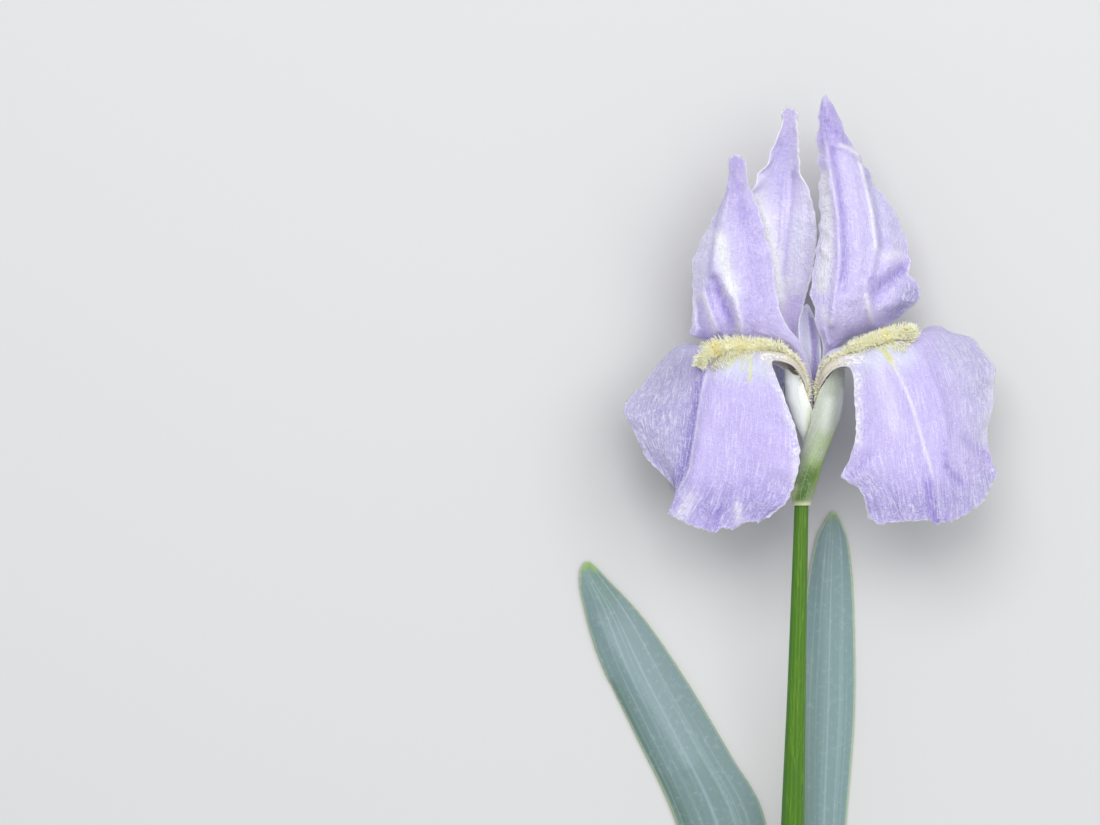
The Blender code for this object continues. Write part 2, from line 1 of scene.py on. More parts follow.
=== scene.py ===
# %% [markdown]
# # A cut bearded iris
#
# The flower lies on a pale surface and the camera looks straight down on it. Every petal is a thin
# sheet. It could be sculpted, or folded by a cloth simulation, but a sheet that is fitted through a
# coarse cage of points keeps the outline and the folds exactly where they belong, so that is the way
# this lesson takes. All sizes are in millimetres until a vertex is written.

# %% Load the frame
import math

import bpy
import numpy as np
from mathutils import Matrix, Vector


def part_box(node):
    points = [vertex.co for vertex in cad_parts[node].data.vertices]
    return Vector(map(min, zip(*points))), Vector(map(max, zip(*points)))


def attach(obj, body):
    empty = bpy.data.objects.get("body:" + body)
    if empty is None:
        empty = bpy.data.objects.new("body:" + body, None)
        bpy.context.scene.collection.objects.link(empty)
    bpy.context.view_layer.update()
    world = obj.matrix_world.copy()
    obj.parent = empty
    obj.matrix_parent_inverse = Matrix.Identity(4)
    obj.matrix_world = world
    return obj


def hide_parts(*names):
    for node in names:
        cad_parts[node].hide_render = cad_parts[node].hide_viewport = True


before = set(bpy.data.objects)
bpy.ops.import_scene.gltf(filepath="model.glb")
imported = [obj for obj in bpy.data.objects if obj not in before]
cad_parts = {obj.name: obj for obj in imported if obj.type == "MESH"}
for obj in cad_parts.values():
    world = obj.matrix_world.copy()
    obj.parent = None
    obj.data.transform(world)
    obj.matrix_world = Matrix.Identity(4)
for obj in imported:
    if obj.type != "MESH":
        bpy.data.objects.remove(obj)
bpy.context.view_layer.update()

MM = 0.001
ROOT = "root"

# %% [markdown]
# ## The throat
#
# Everything in the flower is drawn around its throat, the point where the three falls part. The frame
# gives it: the perianth tube ends RIM_TO_THROAT below it, on the flower's own axis.

# %% Find the throat
RIM_TO_THROAT = 3.19
tube_low, tube_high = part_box("perianth_tube")
THROAT = np.array([
    (tube_low[0] + tube_high[0]) / 2,
    tube_high[1] + RIM_TO_THROAT * MM,
    (tube_low[2] + tube_high[2]) / 2,
])
THROAT_HEIGHT = THROAT[2] / MM
FLOOR = -THROAT_HEIGHT
print("throat at", THROAT.round(5))

# %% [markdown]
# ## Camera
#
# The camera hangs above the flower and looks straight down.

# %% Camera
VIEW_HEIGHT = 825.0
VIEW_X, VIEW_Y = -70.7, -3.9


def add_camera():
    """A long lens, high over the flower."""
    data = bpy.data.cameras.new("camera")
    data.lens = 100
    data.sensor_width = 36
    data.clip_end = 20
    camera = bpy.data.objects.new("camera", data)
    camera.location = Vector(THROAT) + Vector((VIEW_X, VIEW_Y, VIEW_HEIGHT)) * MM
    bpy.context.scene.collection.objects.link(camera)
    bpy.context.scene.camera = camera
    return camera


print("camera at", [round(v, 3) for v in add_camera().location])

# %% [markdown]
# ## Floor and light
#
# A picture of a flower wants soft light, so there is one large lamp over the left shoulder, a slightly
# weaker one on the right and a pale sky around them.

# %% Floor and lamps
FLOOR_SIDE = 6.0
FLOOR_GREY = (0.54, 0.54, 0.54, 1.0)
SKY_BLUE = (0.95, 0.97, 1.0, 1.0)
SKY_STRENGTH = 0.60
AIM = Vector((0, 0.03, 0))

bpy.ops.mesh.primitive_plane_add(size=FLOOR_SIDE, location=(0, 0, -0.0002))
floor = bpy.context.object
floor.name = "floor"
floor_material = bpy.data.materials.new("floor_plain")
floor_material.use_nodes = True
floor_shader = floor_material.node_tree.nodes["Principled BSDF"]
floor_shader.inputs["Base Color"].default_value = FLOOR_GREY
floor_shader.inputs["Roughness"].default_value = 0.9
floor.data.materials.append(floor_material)


def add_lamp(name, place, size, watts):
    """A square area lamp that faces the flower."""
    data = bpy.data.lights.new(name, "AREA")
    data.size = size
    data.energy = watts
    lamp = bpy.data.objects.new(name, data)
    lamp.location = place
    lamp.rotation_euler = (AIM - Vector(place)).to_track_quat("-Z", "Y").to_euler()
    bpy.context.scene.collection.objects.link(lamp)


add_lamp("key_lamp", (-0.24, 0.55, 1.2), 0.7, 9.6)
add_lamp("fill_lamp", (0.45, 0.25, 1.2), 1.0, 8.8)
sky = bpy.data.worlds.new("soft_sky")
sky.use_nodes = True
background = sky.node_tree.nodes["Background"]
background.inputs["Color"].default_value = SKY_BLUE
background.inputs["Strength"].default_value = SKY_STRENGTH
bpy.context.scene.world = sky
bpy.context.scene.view_settings.view_transform = "Standard"

# %% [markdown]
# ## Cages and surfaces
#
# A cage is a few rows of five points, from a sheet's base to its tip. Its points say where they line up
# for an eye VIEW_HEIGHT above the throat, and how high they are, so place() slides them to where they
# really are. Between the points runs a smooth curve. A slack under 1 on a column makes the fold there
# sharper. A fitted surface is only sums of the cage's points, so numpy works a whole sheet out at once.

# %% Place and fit


def place(points):
    """Turns (x, y, height) points, as they line up from above, into real places."""
    points = np.asarray(points, float).copy()
    nearer = (VIEW_HEIGHT - points[..., 2]) / VIEW_HEIGHT
    points[..., 0] = VIEW_X + (points[..., 0] - VIEW_X) * nearer
    points[..., 1] = VIEW_Y + (points[..., 1] - VIEW_Y) * nearer
    return points


def line_up(points):
    """The way back: where real places line up for the eye above the throat."""
    nearer = (VIEW_HEIGHT - points[..., 2]) / VIEW_HEIGHT
    x = VIEW_X + (points[..., 0] - VIEW_X) / nearer
    y = VIEW_Y + (points[..., 1] - VIEW_Y) / nearer
    return np.stack([x, y], axis=-1)


def blend_weights(count, at, slack=None):
    """How much each of count points adds to a smooth curve, read at places from 0 to count - 1."""
    at = np.asarray(at, float)
    slack = slack or [1.0] * count
    tangents = np.zeros((count, count))
    for k in range(count):
        first, last = max(k - 1, 0), min(k + 1, count - 1)
        reach = 0.5 if 0 < k < count - 1 else 1.0
        tangents[k, last] += reach * slack[k]
        tangents[k, first] -= reach * slack[k]
    i = np.minimum(at.astype(int), count - 2)
    t = at - i
    weights = np.zeros((len(at), count))
    row = np.arange(len(at))
    weights[row, i] += 2 * t**3 - 3 * t**2 + 1
    weights[row, i + 1] += 3 * t**2 - 2 * t**3
    weights += (t**3 - 2 * t**2 + t)[:, None] * tangents[i]
    weights += (t**3 - t**2)[:, None] * tangents[i + 1]
    return weights


class Surface:
    """A smooth sheet through a cage, read at u across it and v along it, both from 0 to 1."""

    def __init__(self, cage, slack=None):
        self.cage = place(cage)
        self.slack = slack

    def weights(self, u, v):
        rows, columns = self.cage.shape[:2]
        across = blend_weights(columns, np.asarray(u) * (columns - 1), self.slack)
        return across, blend_weights(rows, np.asarray(v) * (rows - 1))

    def grid(self, us, vs):
        """A point for every v with every u."""
        across, along = self.weights(us, vs)
        return np.einsum("ar,rci,bc->abi", along, self.cage, across)

    def read(self, u, v):
        """A point for each pair of u and v."""
        across, along = self.weights(u, v)
        return np.einsum("nr,rci,nc->ni", along, self.cage, across)


# %% [markdown]
# ## Shaping a sheet
#
# A real petal is not as smooth as its cage. Presses add what a thumb would: each is how far the sheet
# lifts or sinks, how wide, and along which route. "left", "right" and "hem" push the two sides and the
# tip in or out, so that the margin gets its notches. Ruffles make the margin wave up and down, and a
# frill makes its outline waver finely.

# %% Presses, hems and ruffles


def distance_to(points, route):
    """Distance from each (x, y) to a route of straight legs."""
    best = np.full(points.shape[:-1], 1e9)
    route = np.asarray(route, float)
    for a, b in zip(route, route[1:]):
        leg = b - a
        t = np.clip(((points - a) @ leg) / max(leg @ leg, 1e-9), 0, 1)
        gap = np.linalg.norm(points - (a + t[..., None] * leg), axis=-1)
        best = np.minimum(best, gap)
    return best


def hill(distance, width):
    """1 on the line, falling smoothly to 0 about two widths off it."""
    return np.exp(-((distance / width) ** 2))


def smooth_step(low, high, x):
    """0 up to low, 1 from high, and smooth between them."""
    t = np.clip((x - low) / (high - low), 0, 1)
    return t * t * (3 - 2 * t)


def wobble(x, seed, waves=5, low=1.0, high=4.0):
    """A smooth irregular wave, between about -1 and 1, that is the same each run."""
    rng = np.random.default_rng(seed)
    total = 0.0
    for _ in range(waves):
        total = total + np.sin(x * rng.uniform(low, high) + rng.uniform(0, 2 * math.pi))
    return total / math.sqrt(waves)


def unit(vectors):
    """The same directions with length 1."""
    return vectors / np.maximum(np.linalg.norm(vectors, axis=-1, keepdims=True), 1e-9)


def steps(points, axis):
    """Each point's distance along the sheet or across it, from its first row or column."""
    first = points[:1] if axis == 0 else points[:, :1]
    return np.linalg.norm(np.diff(points, axis=axis, prepend=first), axis=-1).cumsum(axis=axis)


# How far each kind of shaping reaches, as shares of a sheet's width from its side, or as the shares
# of its length between which it grows
FIRM_BASE = (0.0, 0.12)
RUFFLED_SIDE, RUFFLED_LENGTH, RUFFLED_TIP = 0.30, (0.25, 0.6), (0.86, 1.0)
NOTCHED_SIDE, NOTCHED_TIP = 0.22, (0.90, 1.0)
FRILLED_SIDE, FRILLED_LENGTH, FRILLED_TIP = 0.04, (0.3, 0.6), (0.97, 1.0)


def shape_sheet(surface, cells, spec, seed):
    """A sheet's points, in rows from its base to its tip, with its presses, margins and ruffles."""
    us, vs = (np.linspace(0, 1, count + 1) for count in cells)
    points = surface.grid(us, vs)
    seen = line_up(points)
    u, v = np.meshgrid(us, vs)
    across = unit(np.gradient(points, axis=1))
    along = unit(np.gradient(points, axis=0))
    normal = unit(np.cross(across, along))
    normal *= np.sign(normal[..., 2].sum()) or 1.0
    sides = (("left", 0, u, -1), ("right", -1, 1 - u, 1))

    lift = np.zeros(u.shape)
    for height, width, route in spec.get("presses", ()):
        lift += height * hill(distance_to(seen, route), width)
    points[..., 2] += lift * smooth_step(*FIRM_BASE, v)

    ruffle, pitch = spec.get("ruffle", (0.0, 9.0))
    length = steps(points, 0)
    for k, (_, column, edge, _) in enumerate(sides):
        wave = wobble(length[:, [column]] / pitch * 2 * math.pi / 2.5, seed + k)
        grow = smooth_step(*RUFFLED_LENGTH, v) * (1 - smooth_step(0, RUFFLED_SIDE, edge))
        points += normal * (ruffle * wave * grow)[..., None]
    reach = steps(points[-1:], 1)
    wave = wobble(reach, seed + 2, low=0.8, high=2.6)
    points += normal * (spec.get("tip_ruffle", 0.0) * wave * smooth_step(*RUFFLED_TIP, v))[..., None]

    if "hem" in spec:
        xs, push = zip(*spec["hem"])
        out = np.interp(seen[-1, :, 0], xs, push)
        points += along * (out[None, :] * smooth_step(*NOTCHED_TIP, v))[..., None]
    for side, column, edge, sign in sides:
        if side in spec:
            ys, push = zip(*spec[side])
            out = np.interp(seen[:, column, 1], ys, push)
            points += sign * across * (out[:, None] * (1 - smooth_step(0, NOTCHED_SIDE, edge)))[..., None]

    frill = spec.get("frill", 0.0)
    rim = smooth_step(*FRILLED_TIP, v)
    points += along * (frill * wobble(reach, seed + 5, 6, 1.2, 4.5) * rim)[..., None]
    for _, _, edge, sign in sides:
        wave = wobble(length, seed + 6 + sign, 6, 0.6, 2.8) * smooth_step(*FRILLED_LENGTH, v)
        points += sign * across * (frill * wave * (1 - smooth_step(0, FRILLED_SIDE, edge)))[..., None]
    return points


# %% [markdown]
# ## Colour washes
#
# A petal's colour drifts from place to place: paler at the throat, and yellow green where the beard bleeds
# into it. Washes also paint its light and shade: greyer where it turns away and deeper violet in its folds
# are painted shade, and near white on its swellings is a painted highlight. Painting it by hand would take an
# image. Here each wash is a brush stroke: a colour, a strength, a width and a route. The strokes are kept in
# a colour attribute, which the material mixes with its veins.

# %% Washes


def colour(red, green, blue):
    """A display colour, 0 to 255, as the linear values that a shader works in."""
    shown = np.array([red, green, blue]) / 255.0
    return np.where(shown <= 0.04045, shown / 12.92, ((shown + 0.055) / 1.055) ** 2.4)


def margin_distance(points):
    """How far each point of a sheet lies from its two sides and its tip, whichever is nearest."""
    across = np.linalg.norm(np.diff(points, axis=1), axis=-1)
    along = np.linalg.norm(np.diff(points, axis=0), axis=-1)
    from_left = np.concatenate([np.zeros((len(points), 1)), np.cumsum(across, axis=1)], axis=1)
    from_base = np.concatenate([np.zeros((1, points.shape[1])), np.cumsum(along, axis=0)], axis=0)
    sides = np.minimum(from_left, from_left[:, -1:] - from_left)
    return np.minimum(sides, from_base[-1:] - from_base)


SEAM = 0.03  # half of the width, as a share of the sheet's, over which a wash fades at its seam


def brush(seen, u, wash):
    """How much of a wash each point of a sheet takes. A wash may keep to a part of the sheet's width."""
    amount = wash[1] * hill(distance_to(seen, wash[3]), wash[2])
    if len(wash) > 4:
        for edge, side in zip(wash[4], (0, 1)):
            amount = amount * abs(side - smooth_step(edge - SEAM, edge + SEAM, u))
    return np.clip(amount, 0, 1)


def sheet_map(points):
    """Where each point of a sheet lines up, and how far across the sheet it is, from 0 to 1."""
    return line_up(points), np.broadcast_to(np.linspace(0, 1, points.shape[1]), points.shape[:2])


def paint(points, base, washes, rim, painted_glints=()):
    """Each point's colour, its base with every wash brushed over it in turn, and in its alpha how much
    painted glint it takes. rim is the margin's colour, its strength and its width."""
    seen, u = sheet_map(points)
    layer = np.zeros((*u.shape, 4))
    layer[..., :3] = colour(*base)
    for wash in washes:
        layer[..., :3] += (colour(*wash[0]) - layer[..., :3]) * brush(seen, u, wash)[..., None]
    rgb, strength, width = rim
    amount = strength * (1 - smooth_step(0.2 * width, width, margin_distance(points)))
    layer[..., :3] += (colour(*rgb) - layer[..., :3]) * amount[..., None]
    # Painted glints: the alpha says where the material mixes white sparkle in.
    for wash in painted_glints:
        layer[..., 3] = np.maximum(layer[..., 3], brush(seen, u, (None, *wash)))
    return layer


def crimp_of(points, base, washes):
    """How strongly each point of a sheet is crimped: base, or more where a wash says so."""
    seen, u = sheet_map(points)
    amount = np.full(u.shape, float(base))
    for wash in washes:
        amount += (wash[0] - amount) * brush(seen, u, (None, 1.0, *wash[1:]))
    return amount


# %% [markdown]
# ## From points to a piece
#
# A sheet starts as Blender's own grid. Its vertices are laid on the shaped points, the washes go into
# a colour attribute, and a Solidify modifier gives it its thickness and closes it. Whatever a piece
# is made of, it rides the one body and takes the place of its CAD node.

# %% Sheets into meshes
FLOOR_GAP = 0.02  # left under a sheet that lies on the surface


def solo(obj):
    """Selects this object alone, so that an operator acts on nothing else."""
    bpy.ops.object.select_all(action="DESELECT")
    obj.select_set(True)
    bpy.context.view_layer.objects.active = obj


def vertex_places(mesh):
    """Every vertex's coordinates, one row each."""
    flat = np.empty(len(mesh.vertices) * 3)
    mesh.vertices.foreach_get("co", flat)
    return flat.reshape(-1, 3)


def add_wash(mesh, tint):
    """Stores a colour for every vertex."""
    mesh.attributes.new("wash", "FLOAT_COLOR", "POINT").data.foreach_set("color", tint.ravel())


def make_sheet(name, points, tint, thickness, material, crimp=None):
    """Adds a grid, lays it on the points, colours it and gives it its thickness."""
    nv, nu = points.shape[0] - 1, points.shape[1] - 1
    bpy.ops.object.select_all(action="DESELECT")
    bpy.ops.mesh.primitive_grid_add(x_subdivisions=nu, y_subdivisions=nv, size=2.0, location=(0, 0, 0))
    obj = bpy.context.object
    obj.name = name
    mesh = obj.data
    flat = vertex_places(mesh)
    iu = np.rint((flat[:, 0] + 1) / 2 * nu).astype(int)
    iv = np.rint((flat[:, 1] + 1) / 2 * nv).astype(int)
    laid = points[iv, iu].copy()
    laid[:, 2] = np.maximum(laid[:, 2], FLOOR + thickness / 2 + FLOOR_GAP)
    mesh.vertices.foreach_set("co", (laid * MM + THROAT).ravel())
    add_wash(mesh, tint[iv, iu])
    if crimp is not None:
        layer = mesh.attributes.new("crimp", "FLOAT", "POINT")
        layer.data.foreach_set("value", crimp[iv, iu].ravel())
    solo(obj)
    skin = obj.modifiers.new("skin", "SOLIDIFY")
    skin.thickness = thickness * MM
    skin.offset = 0.0
    bpy.ops.object.modifier_apply(modifier=skin.name)
    mesh.shade_smooth()
    mesh.materials.append(material)
    return obj


def settle(obj, node):
    """Rides the piece on the one body, in place of its CAD node."""
    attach(obj, ROOT)
    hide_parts(node)
    print(obj.name, len(obj.data.polygons), "faces")


# %% [markdown]
# ## Skins
#
# Every material of the flower is built the same way. It starts from the washes in the mesh, and other
# colours are mixed in where a noise pattern runs high or low. The patterns lie on Object coordinates,
# or on a sheet's own map, where a stretched noise draws veins from base to tip. The same patterns
# drive the bump.

# %% A skin's nodes


class Skin:
    """A Principled material in the making. base is its colour so far: an output, or a plain colour."""

    def __init__(self, name, roughness, base=None):
        self.material = bpy.data.materials.new(name)
        self.material.use_nodes = True
        self.tree = self.material.node_tree
        self.shader = self.tree.nodes["Principled BSDF"]
        self.shader.inputs["Roughness"].default_value = roughness
        self.spot = self.node("ShaderNodeTexCoord")
        self.base = base or self.attribute("wash", "Color")

    def node(self, kind, inputs=None, **settings):
        """A node. Each input is a plain value or another node's output."""
        made = self.tree.nodes.new(kind)
        for key, value in settings.items():
            setattr(made, key, value)
        for key, value in (inputs or {}).items():
            self.feed(made.inputs[key], value)
        return made

    def feed(self, slot, value):
        if isinstance(value, bpy.types.NodeSocket):
            self.tree.links.new(value, slot)
        else:
            slot.default_value = value

    def attribute(self, name, output):
        return self.node("ShaderNodeAttribute", attribute_name=name).outputs[output]

    def noise(self, chart, scale, detail=2.0, rough=0.6, twist=0.0):
        """A noise pattern on the chart, Object or UV. Three scales stretch it."""
        where = self.spot.outputs[chart]
        if isinstance(scale, tuple):
            where = self.node("ShaderNodeMapping", {"Vector": where, "Scale": scale}).outputs["Vector"]
            scale = 1.0
        inputs = {"Vector": where, "Scale": scale, "Detail": detail, "Roughness": rough, "Distortion": twist}
        return self.node("ShaderNodeTexNoise", inputs).outputs["Fac"]

    def math(self, operation, first, second):
        return self.node("ShaderNodeMath", {0: first, 1: second}, operation=operation).outputs[0]

    def times(self, first, second):
        return self.math("MULTIPLY", first, second)

    def plus(self, first, second):
        return self.math("ADD", first, second)

    def mix(self, pattern, low, high, strength, rgb):
        """Mixes a colour in: none of it where the pattern is at low, and strength of it at high."""
        inputs = {"Value": pattern, "From Min": low, "From Max": high}
        ramp = self.node("ShaderNodeMapRange", inputs, interpolation_type="SMOOTHSTEP").outputs["Result"]
        inputs = {"Factor": self.times(ramp, strength), 6: self.base, 7: (*rgb, 1.0)}
        self.base = self.node("ShaderNodeMix", inputs, data_type="RGBA").outputs[2]

    def finish(self, height, strength, depth, scatter=None, sheen=0.0):
        """Links the colour and a bump, depth millimetres high. scatter is how much light goes in below
        the surface, how its colours spread and how far they go."""
        bump = self.node("ShaderNodeBump", {"Strength": strength, "Distance": depth * MM, "Height": height})
        inputs = {"Base Color": self.base, "Normal": bump.outputs["Normal"], "Sheen Weight": sheen}
        if scatter:
            inputs |= dict(zip(("Subsurface Weight", "Subsurface Radius", "Subsurface Scale"), scatter))
        for key, value in inputs.items():
            self.feed(self.shader.inputs[key], value)
        return self.material


# %% [markdown]
# ## Petal material
#
# Iris petals glisten: their skin is made of tiny dome-shaped cells. They also let light through, and
# fine veins run from the claw to the margin. A crimp attribute says where the skin is crinkled, and
# the alpha of the washes where it sparkles. A translucent shader could stand for the light that comes
# through, but one Principled shader exports better.

# %% Petal material
WHITE = (1.0, 1.0, 1.0)

skin = Skin("petal_lavender", 0.5)
crimp = skin.attribute("crimp", "Fac")
lines = skin.noise("UV", (110.0, 2.4, 1), rough=0.55)
hairlines = skin.noise("UV", (264.0, 9.0, 1))
rays = skin.noise("UV", (84, 24, 1), 3.0, twist=0.3)
cells = skin.noise("Object", 2600.0)
grains = skin.noise("Object", 1100.0, 3.0)
crinkle = skin.noise("Object", 950.0, 3.0, 0.65, 0.6)
skin.mix(lines, 0.50, 0.75, 0.30, colour(170, 154, 226))
skin.mix(hairlines, 0.52, 0.75, 0.45, colour(236, 234, 255))
# Painted glints: white specks on the tiny cells, for their glisten.
skin.mix(cells, 0.56, 0.72, 0.35, WHITE)
skin.mix(grains, 0.48, 0.30, 0.26, colour(172, 160, 220))
# Painted light and shade of the crinkles, in this line and the next two: pale on the crests of the crinkle
# and the rays, violet in the crinkle's hollows. The same patterns raise the bump.
skin.mix(crinkle, 0.50, 0.66, skin.times(crimp, 0.24), colour(242, 240, 255))
skin.mix(rays, 0.50, 0.68, skin.times(crimp, 0.44), colour(240, 238, 255))
skin.mix(crinkle, 0.48, 0.34, skin.times(crimp, 0.16), colour(160, 148, 216))
# More painted glints, where the washes' alpha says the skin sparkles.
skin.mix(grains, 0.50, 0.56, skin.attribute("wash", "Alpha"), WHITE)
veins = skin.plus(skin.times(lines, 0.5), skin.times(hairlines, 0.4))
folds = skin.times(skin.plus(crinkle, skin.times(rays, 0.6)), skin.times(crimp, 2.6))
relief = skin.plus(skin.plus(veins, skin.times(cells, 0.6)), folds)
PETAL = skin.finish(relief, 0.8, 0.40, (0.45, (1.0, 0.9, 1.0), 1.6 * MM), sheen=0.12)
print(PETAL.name, "has", len(skin.tree.nodes), "nodes")

# %% [markdown]
# ## The three standards
#
# The standards stand upright, cup inward and end in crumpled tips. The front one leans over the
# throat, the middle one stands behind it, and the right one shows its back, with its left margin
# rolled towards the eye. Each is a cage with its own presses and washes.

# %% Cages of the standards
FRONT_STANDARD = [
    [(-1.5, -3, 1.6), (-1.2, -3, 1.9), (-0.8, -3, 2.1), (-0.3, -3, 2.2), (0.2, -3, 2.2)],
    [(-2.0, 6, 1.3), (-1.6, 6, 1.8), (-1.1, 6, 1.9), (-0.6, 6, 1.8), (-0.1, 6, 1.4)],
    [(-8.0, 14.7, 1.0), (-6.5, 14.6, 2.3), (-5.0, 14.5, 3.0), (-3.9, 14.5, 2.8), (-3.0, 14.5, 2.0)],
    [(-30.8, 16.4, -4.5), (-23, 17.0, 1.0), (-15.5, 18.0, 3.6), (-10, 18.8, 4.0), (-6.5, 19.2, 2.6)],
    [(-32.8, 20.5, -5), (-27.5, 21.5, 2), (-20.5, 23, 5), (-13.8, 24, 5.6), (-9.0, 25.0, 3.8)],
    [(-32.2, 29.5, -4), (-26.8, 31, 3.6), (-21, 32, 6.4), (-15.2, 34, 7), (-10.4, 35.5, 4.8)],
    [(-31.9, 38.2, -1), (-26.5, 39, 5), (-21.5, 41.5, 7.6), (-16.7, 43, 7.8), (-12.5, 44, 6)],
    [(-26.2, 50, 3), (-23.4, 51, 6.8), (-20.2, 52, 8.6), (-17.4, 52.5, 8.6), (-15.0, 52.5, 7.2)],
    [(-22.9, 58.5, 6.5), (-21.4, 59, 8.3), (-19.8, 59, 9.2), (-18.4, 59, 9.0), (-17.2, 58.5, 8.2)],
    [(-22.2, 64.6, 8.6), (-21.4, 65.5, 9.4), (-20.2, 65.8, 9.8), (-19.0, 65.2, 9.4), (-18.0, 64.2, 8.8)],
]
MIDDLE_STANDARD = [
    [(-2.2, -3, -0.3), (-2.1, -3, -0.8), (-1.8, -3, -1.2), (-1.4, -3, -1.6), (-0.9, -3, -2.0)],
    [(-4.6, 8, -2.4), (-4.4, 8, -3.4), (-3.8, 8, -4.2), (-3.0, 8, -4.8), (-2.0, 8, -5.0)],
    [(-8.8, 15, -6.4), (-7.8, 15.6, -7.8), (-6.5, 16.2, -8.5), (-5.0, 16.8, -8.6), (-3.6, 17, -7.8)],
    [(-20, 21, -7.6), (-15, 23, -9.4), (-10, 24.4, -9.8), (-6, 25, -9.2), (-2.4, 24, -8.0)],
    [(-23, 34, -5), (-17, 35, -8.4), (-11, 36, -10.0), (-5, 36.5, -8.8), (0.5, 36.0, -6.0)],
    [(-22, 46, -2), (-16.5, 47, -6.2), (-11, 48, -7.8), (-5, 47.6, -6.4), (1.3, 46.5, -3.6)],
    [(-17.0, 55.5, 0.6), (-13, 57, -3.6), (-9.2, 58, -5.4), (-5, 58, -4.2), (-1.2, 57.5, -0.6)],
    [(-11.6, 65.5, 1.2), (-9.6, 66.5, -1.2), (-7.4, 67, -2.2), (-5.2, 66.5, -1.0), (-3.1, 65, 1.0)],
    [(-8.9, 72.5, 2.0), (-7.6, 73, 0.6), (-6.2, 73.2, 0.2), (-4.9, 73, 0.8), (-3.6, 72.3, 1.8)],
    [(-8.3, 77.4, 2.8), (-7.3, 78.2, 2.2), (-6.0, 78.6, 2.0), (-4.8, 78.0, 2.2), (-3.6, 77.2, 2.6)],
]
RIGHT_STANDARD = [
    [(2.2, -3, -0.3), (2.1, -3, -0.8), (1.8, -3, -1.2), (1.4, -3, -1.6), (0.9, -3, -2.0)],
    [(2.3, 7, -1.6), (3.0, 7, -1.8), (3.5, 7, -2.4), (3.6, 7, -3.2), (3.0, 7, -4.0)],
    [(2.9, 14.3, -1.4), (4.5, 14.6, -1.0), (6.2, 14.9, -1.4), (7.8, 15.2, -2.8), (9.0, 15.4, -4.8)],
    [(0.7, 21.5, 1.2), (5.2, 21.5, 3.6), (10.2, 21.2, 2.4), (15.8, 21.0, -1.4), (21.5, 20.6, -7)],
    [(-0.3, 28, 0.8), (6.3, 28.5, 5.6), (13, 28, 4.6), (20.6, 27, 0.0), (28.8, 27.5, -7)],
    [(0.5, 36, 0.4), (7.5, 37.5, 6.0), (13.6, 37.5, 5.4), (20.8, 36.5, -0.6), (26.8, 36, -8)],
    [(1.8, 47, 0.6), (7.1, 48, 5.8), (12.6, 48, 5.2), (18.5, 48, 0.2), (24.1, 46.5, -6)],
    [(2.1, 58, 1.0), (5.6, 59, 5.0), (9.6, 59, 4.6), (13.8, 59, 1.2), (17.3, 58.2, -3)],
    [(1.4, 68, 2.0), (3.7, 69, 4.2), (6.4, 69, 3.8), (8.8, 69, 2.2), (11.0, 67.8, 0)],
    [(2.2, 79.6, 2.6), (2.8, 81, 3.4), (3.6, 81.8, 3.4), (4.4, 80.8, 3.2), (5.2, 79.6, 2.4)],
]

# %% [markdown]
# ## Folds and colours of the standards
#
# Presses crease each standard along its midrib and between its lobes. Many of its washes are painted light
# and shade: violet painted shade in the hollows and white painted highlights on the swellings. A press is
# (height, width, route), and a wash is (colour, strength, width, route), with the part of the sheet's width
# that it keeps to when it has a fifth entry.

# %% Presses and washes of the standards
LAVENDER = (197, 184, 241)
STANDARD_BASE = (208, 197, 252)
# Painted light: the middle standard stands in the front one's shade, so its base is lighter than the others'.
MIDDLE_LIGHTENED_BASE = (230, 222, 255)
VIOLET = (170, 154, 226)
DEEP_VIOLET = (148, 130, 210)
GREY_VIOLET = (188, 185, 222)
NEAR_WHITE = (246, 244, 255)

STANDARD_SLACK = [1, 0.8, 1, 0.8, 1]
FRONT_SPEC = {
    "presses": [
        (1.0, 1.1, [(-22.9, 57), (-24.3, 46), (-26.4, 38), (-26.6, 30)]),
        (-1.0, 1.3, [(-18.6, 56), (-18.2, 46), (-17.4, 36), (-16.8, 26)]),
        (0.6, 1.6, [(-14.0, 46), (-12.6, 37), (-11.6, 30)]),
        (-2.0, 1.3, [(-26.6, 32), (-24.6, 27), (-22.0, 21), (-21.4, 17)]),
        (1.5, 1.0, [(-23.6, 31), (-20.6, 26), (-19.2, 21), (-18.8, 17)]),
        (1.2, 0.9, [(-29.6, 29), (-27.4, 23), (-25.4, 18)]),
        (-0.9, 0.8, [(-31.4, 26), (-30.4, 21), (-29.6, 16)]),
        (1.0, 0.8, [(-32.2, 23), (-31.6, 17)]),
        (-0.8, 0.8, [(-17.6, 26), (-16.6, 17)]),
    ],
    "ruffle": (0.35, 9.0),
    "tip_ruffle": 0.12,
    "left": [(17, 0), (19, -0.9), (24, -0.9), (28, -0.8), (30, 0.1), (33, -0.3), (38, 0), (42, -0.5),
             (47, -0.7), (53, -0.8), (57, -0.6), (60, -0.1), (64, 0)],
    "frill": 0.17,
}
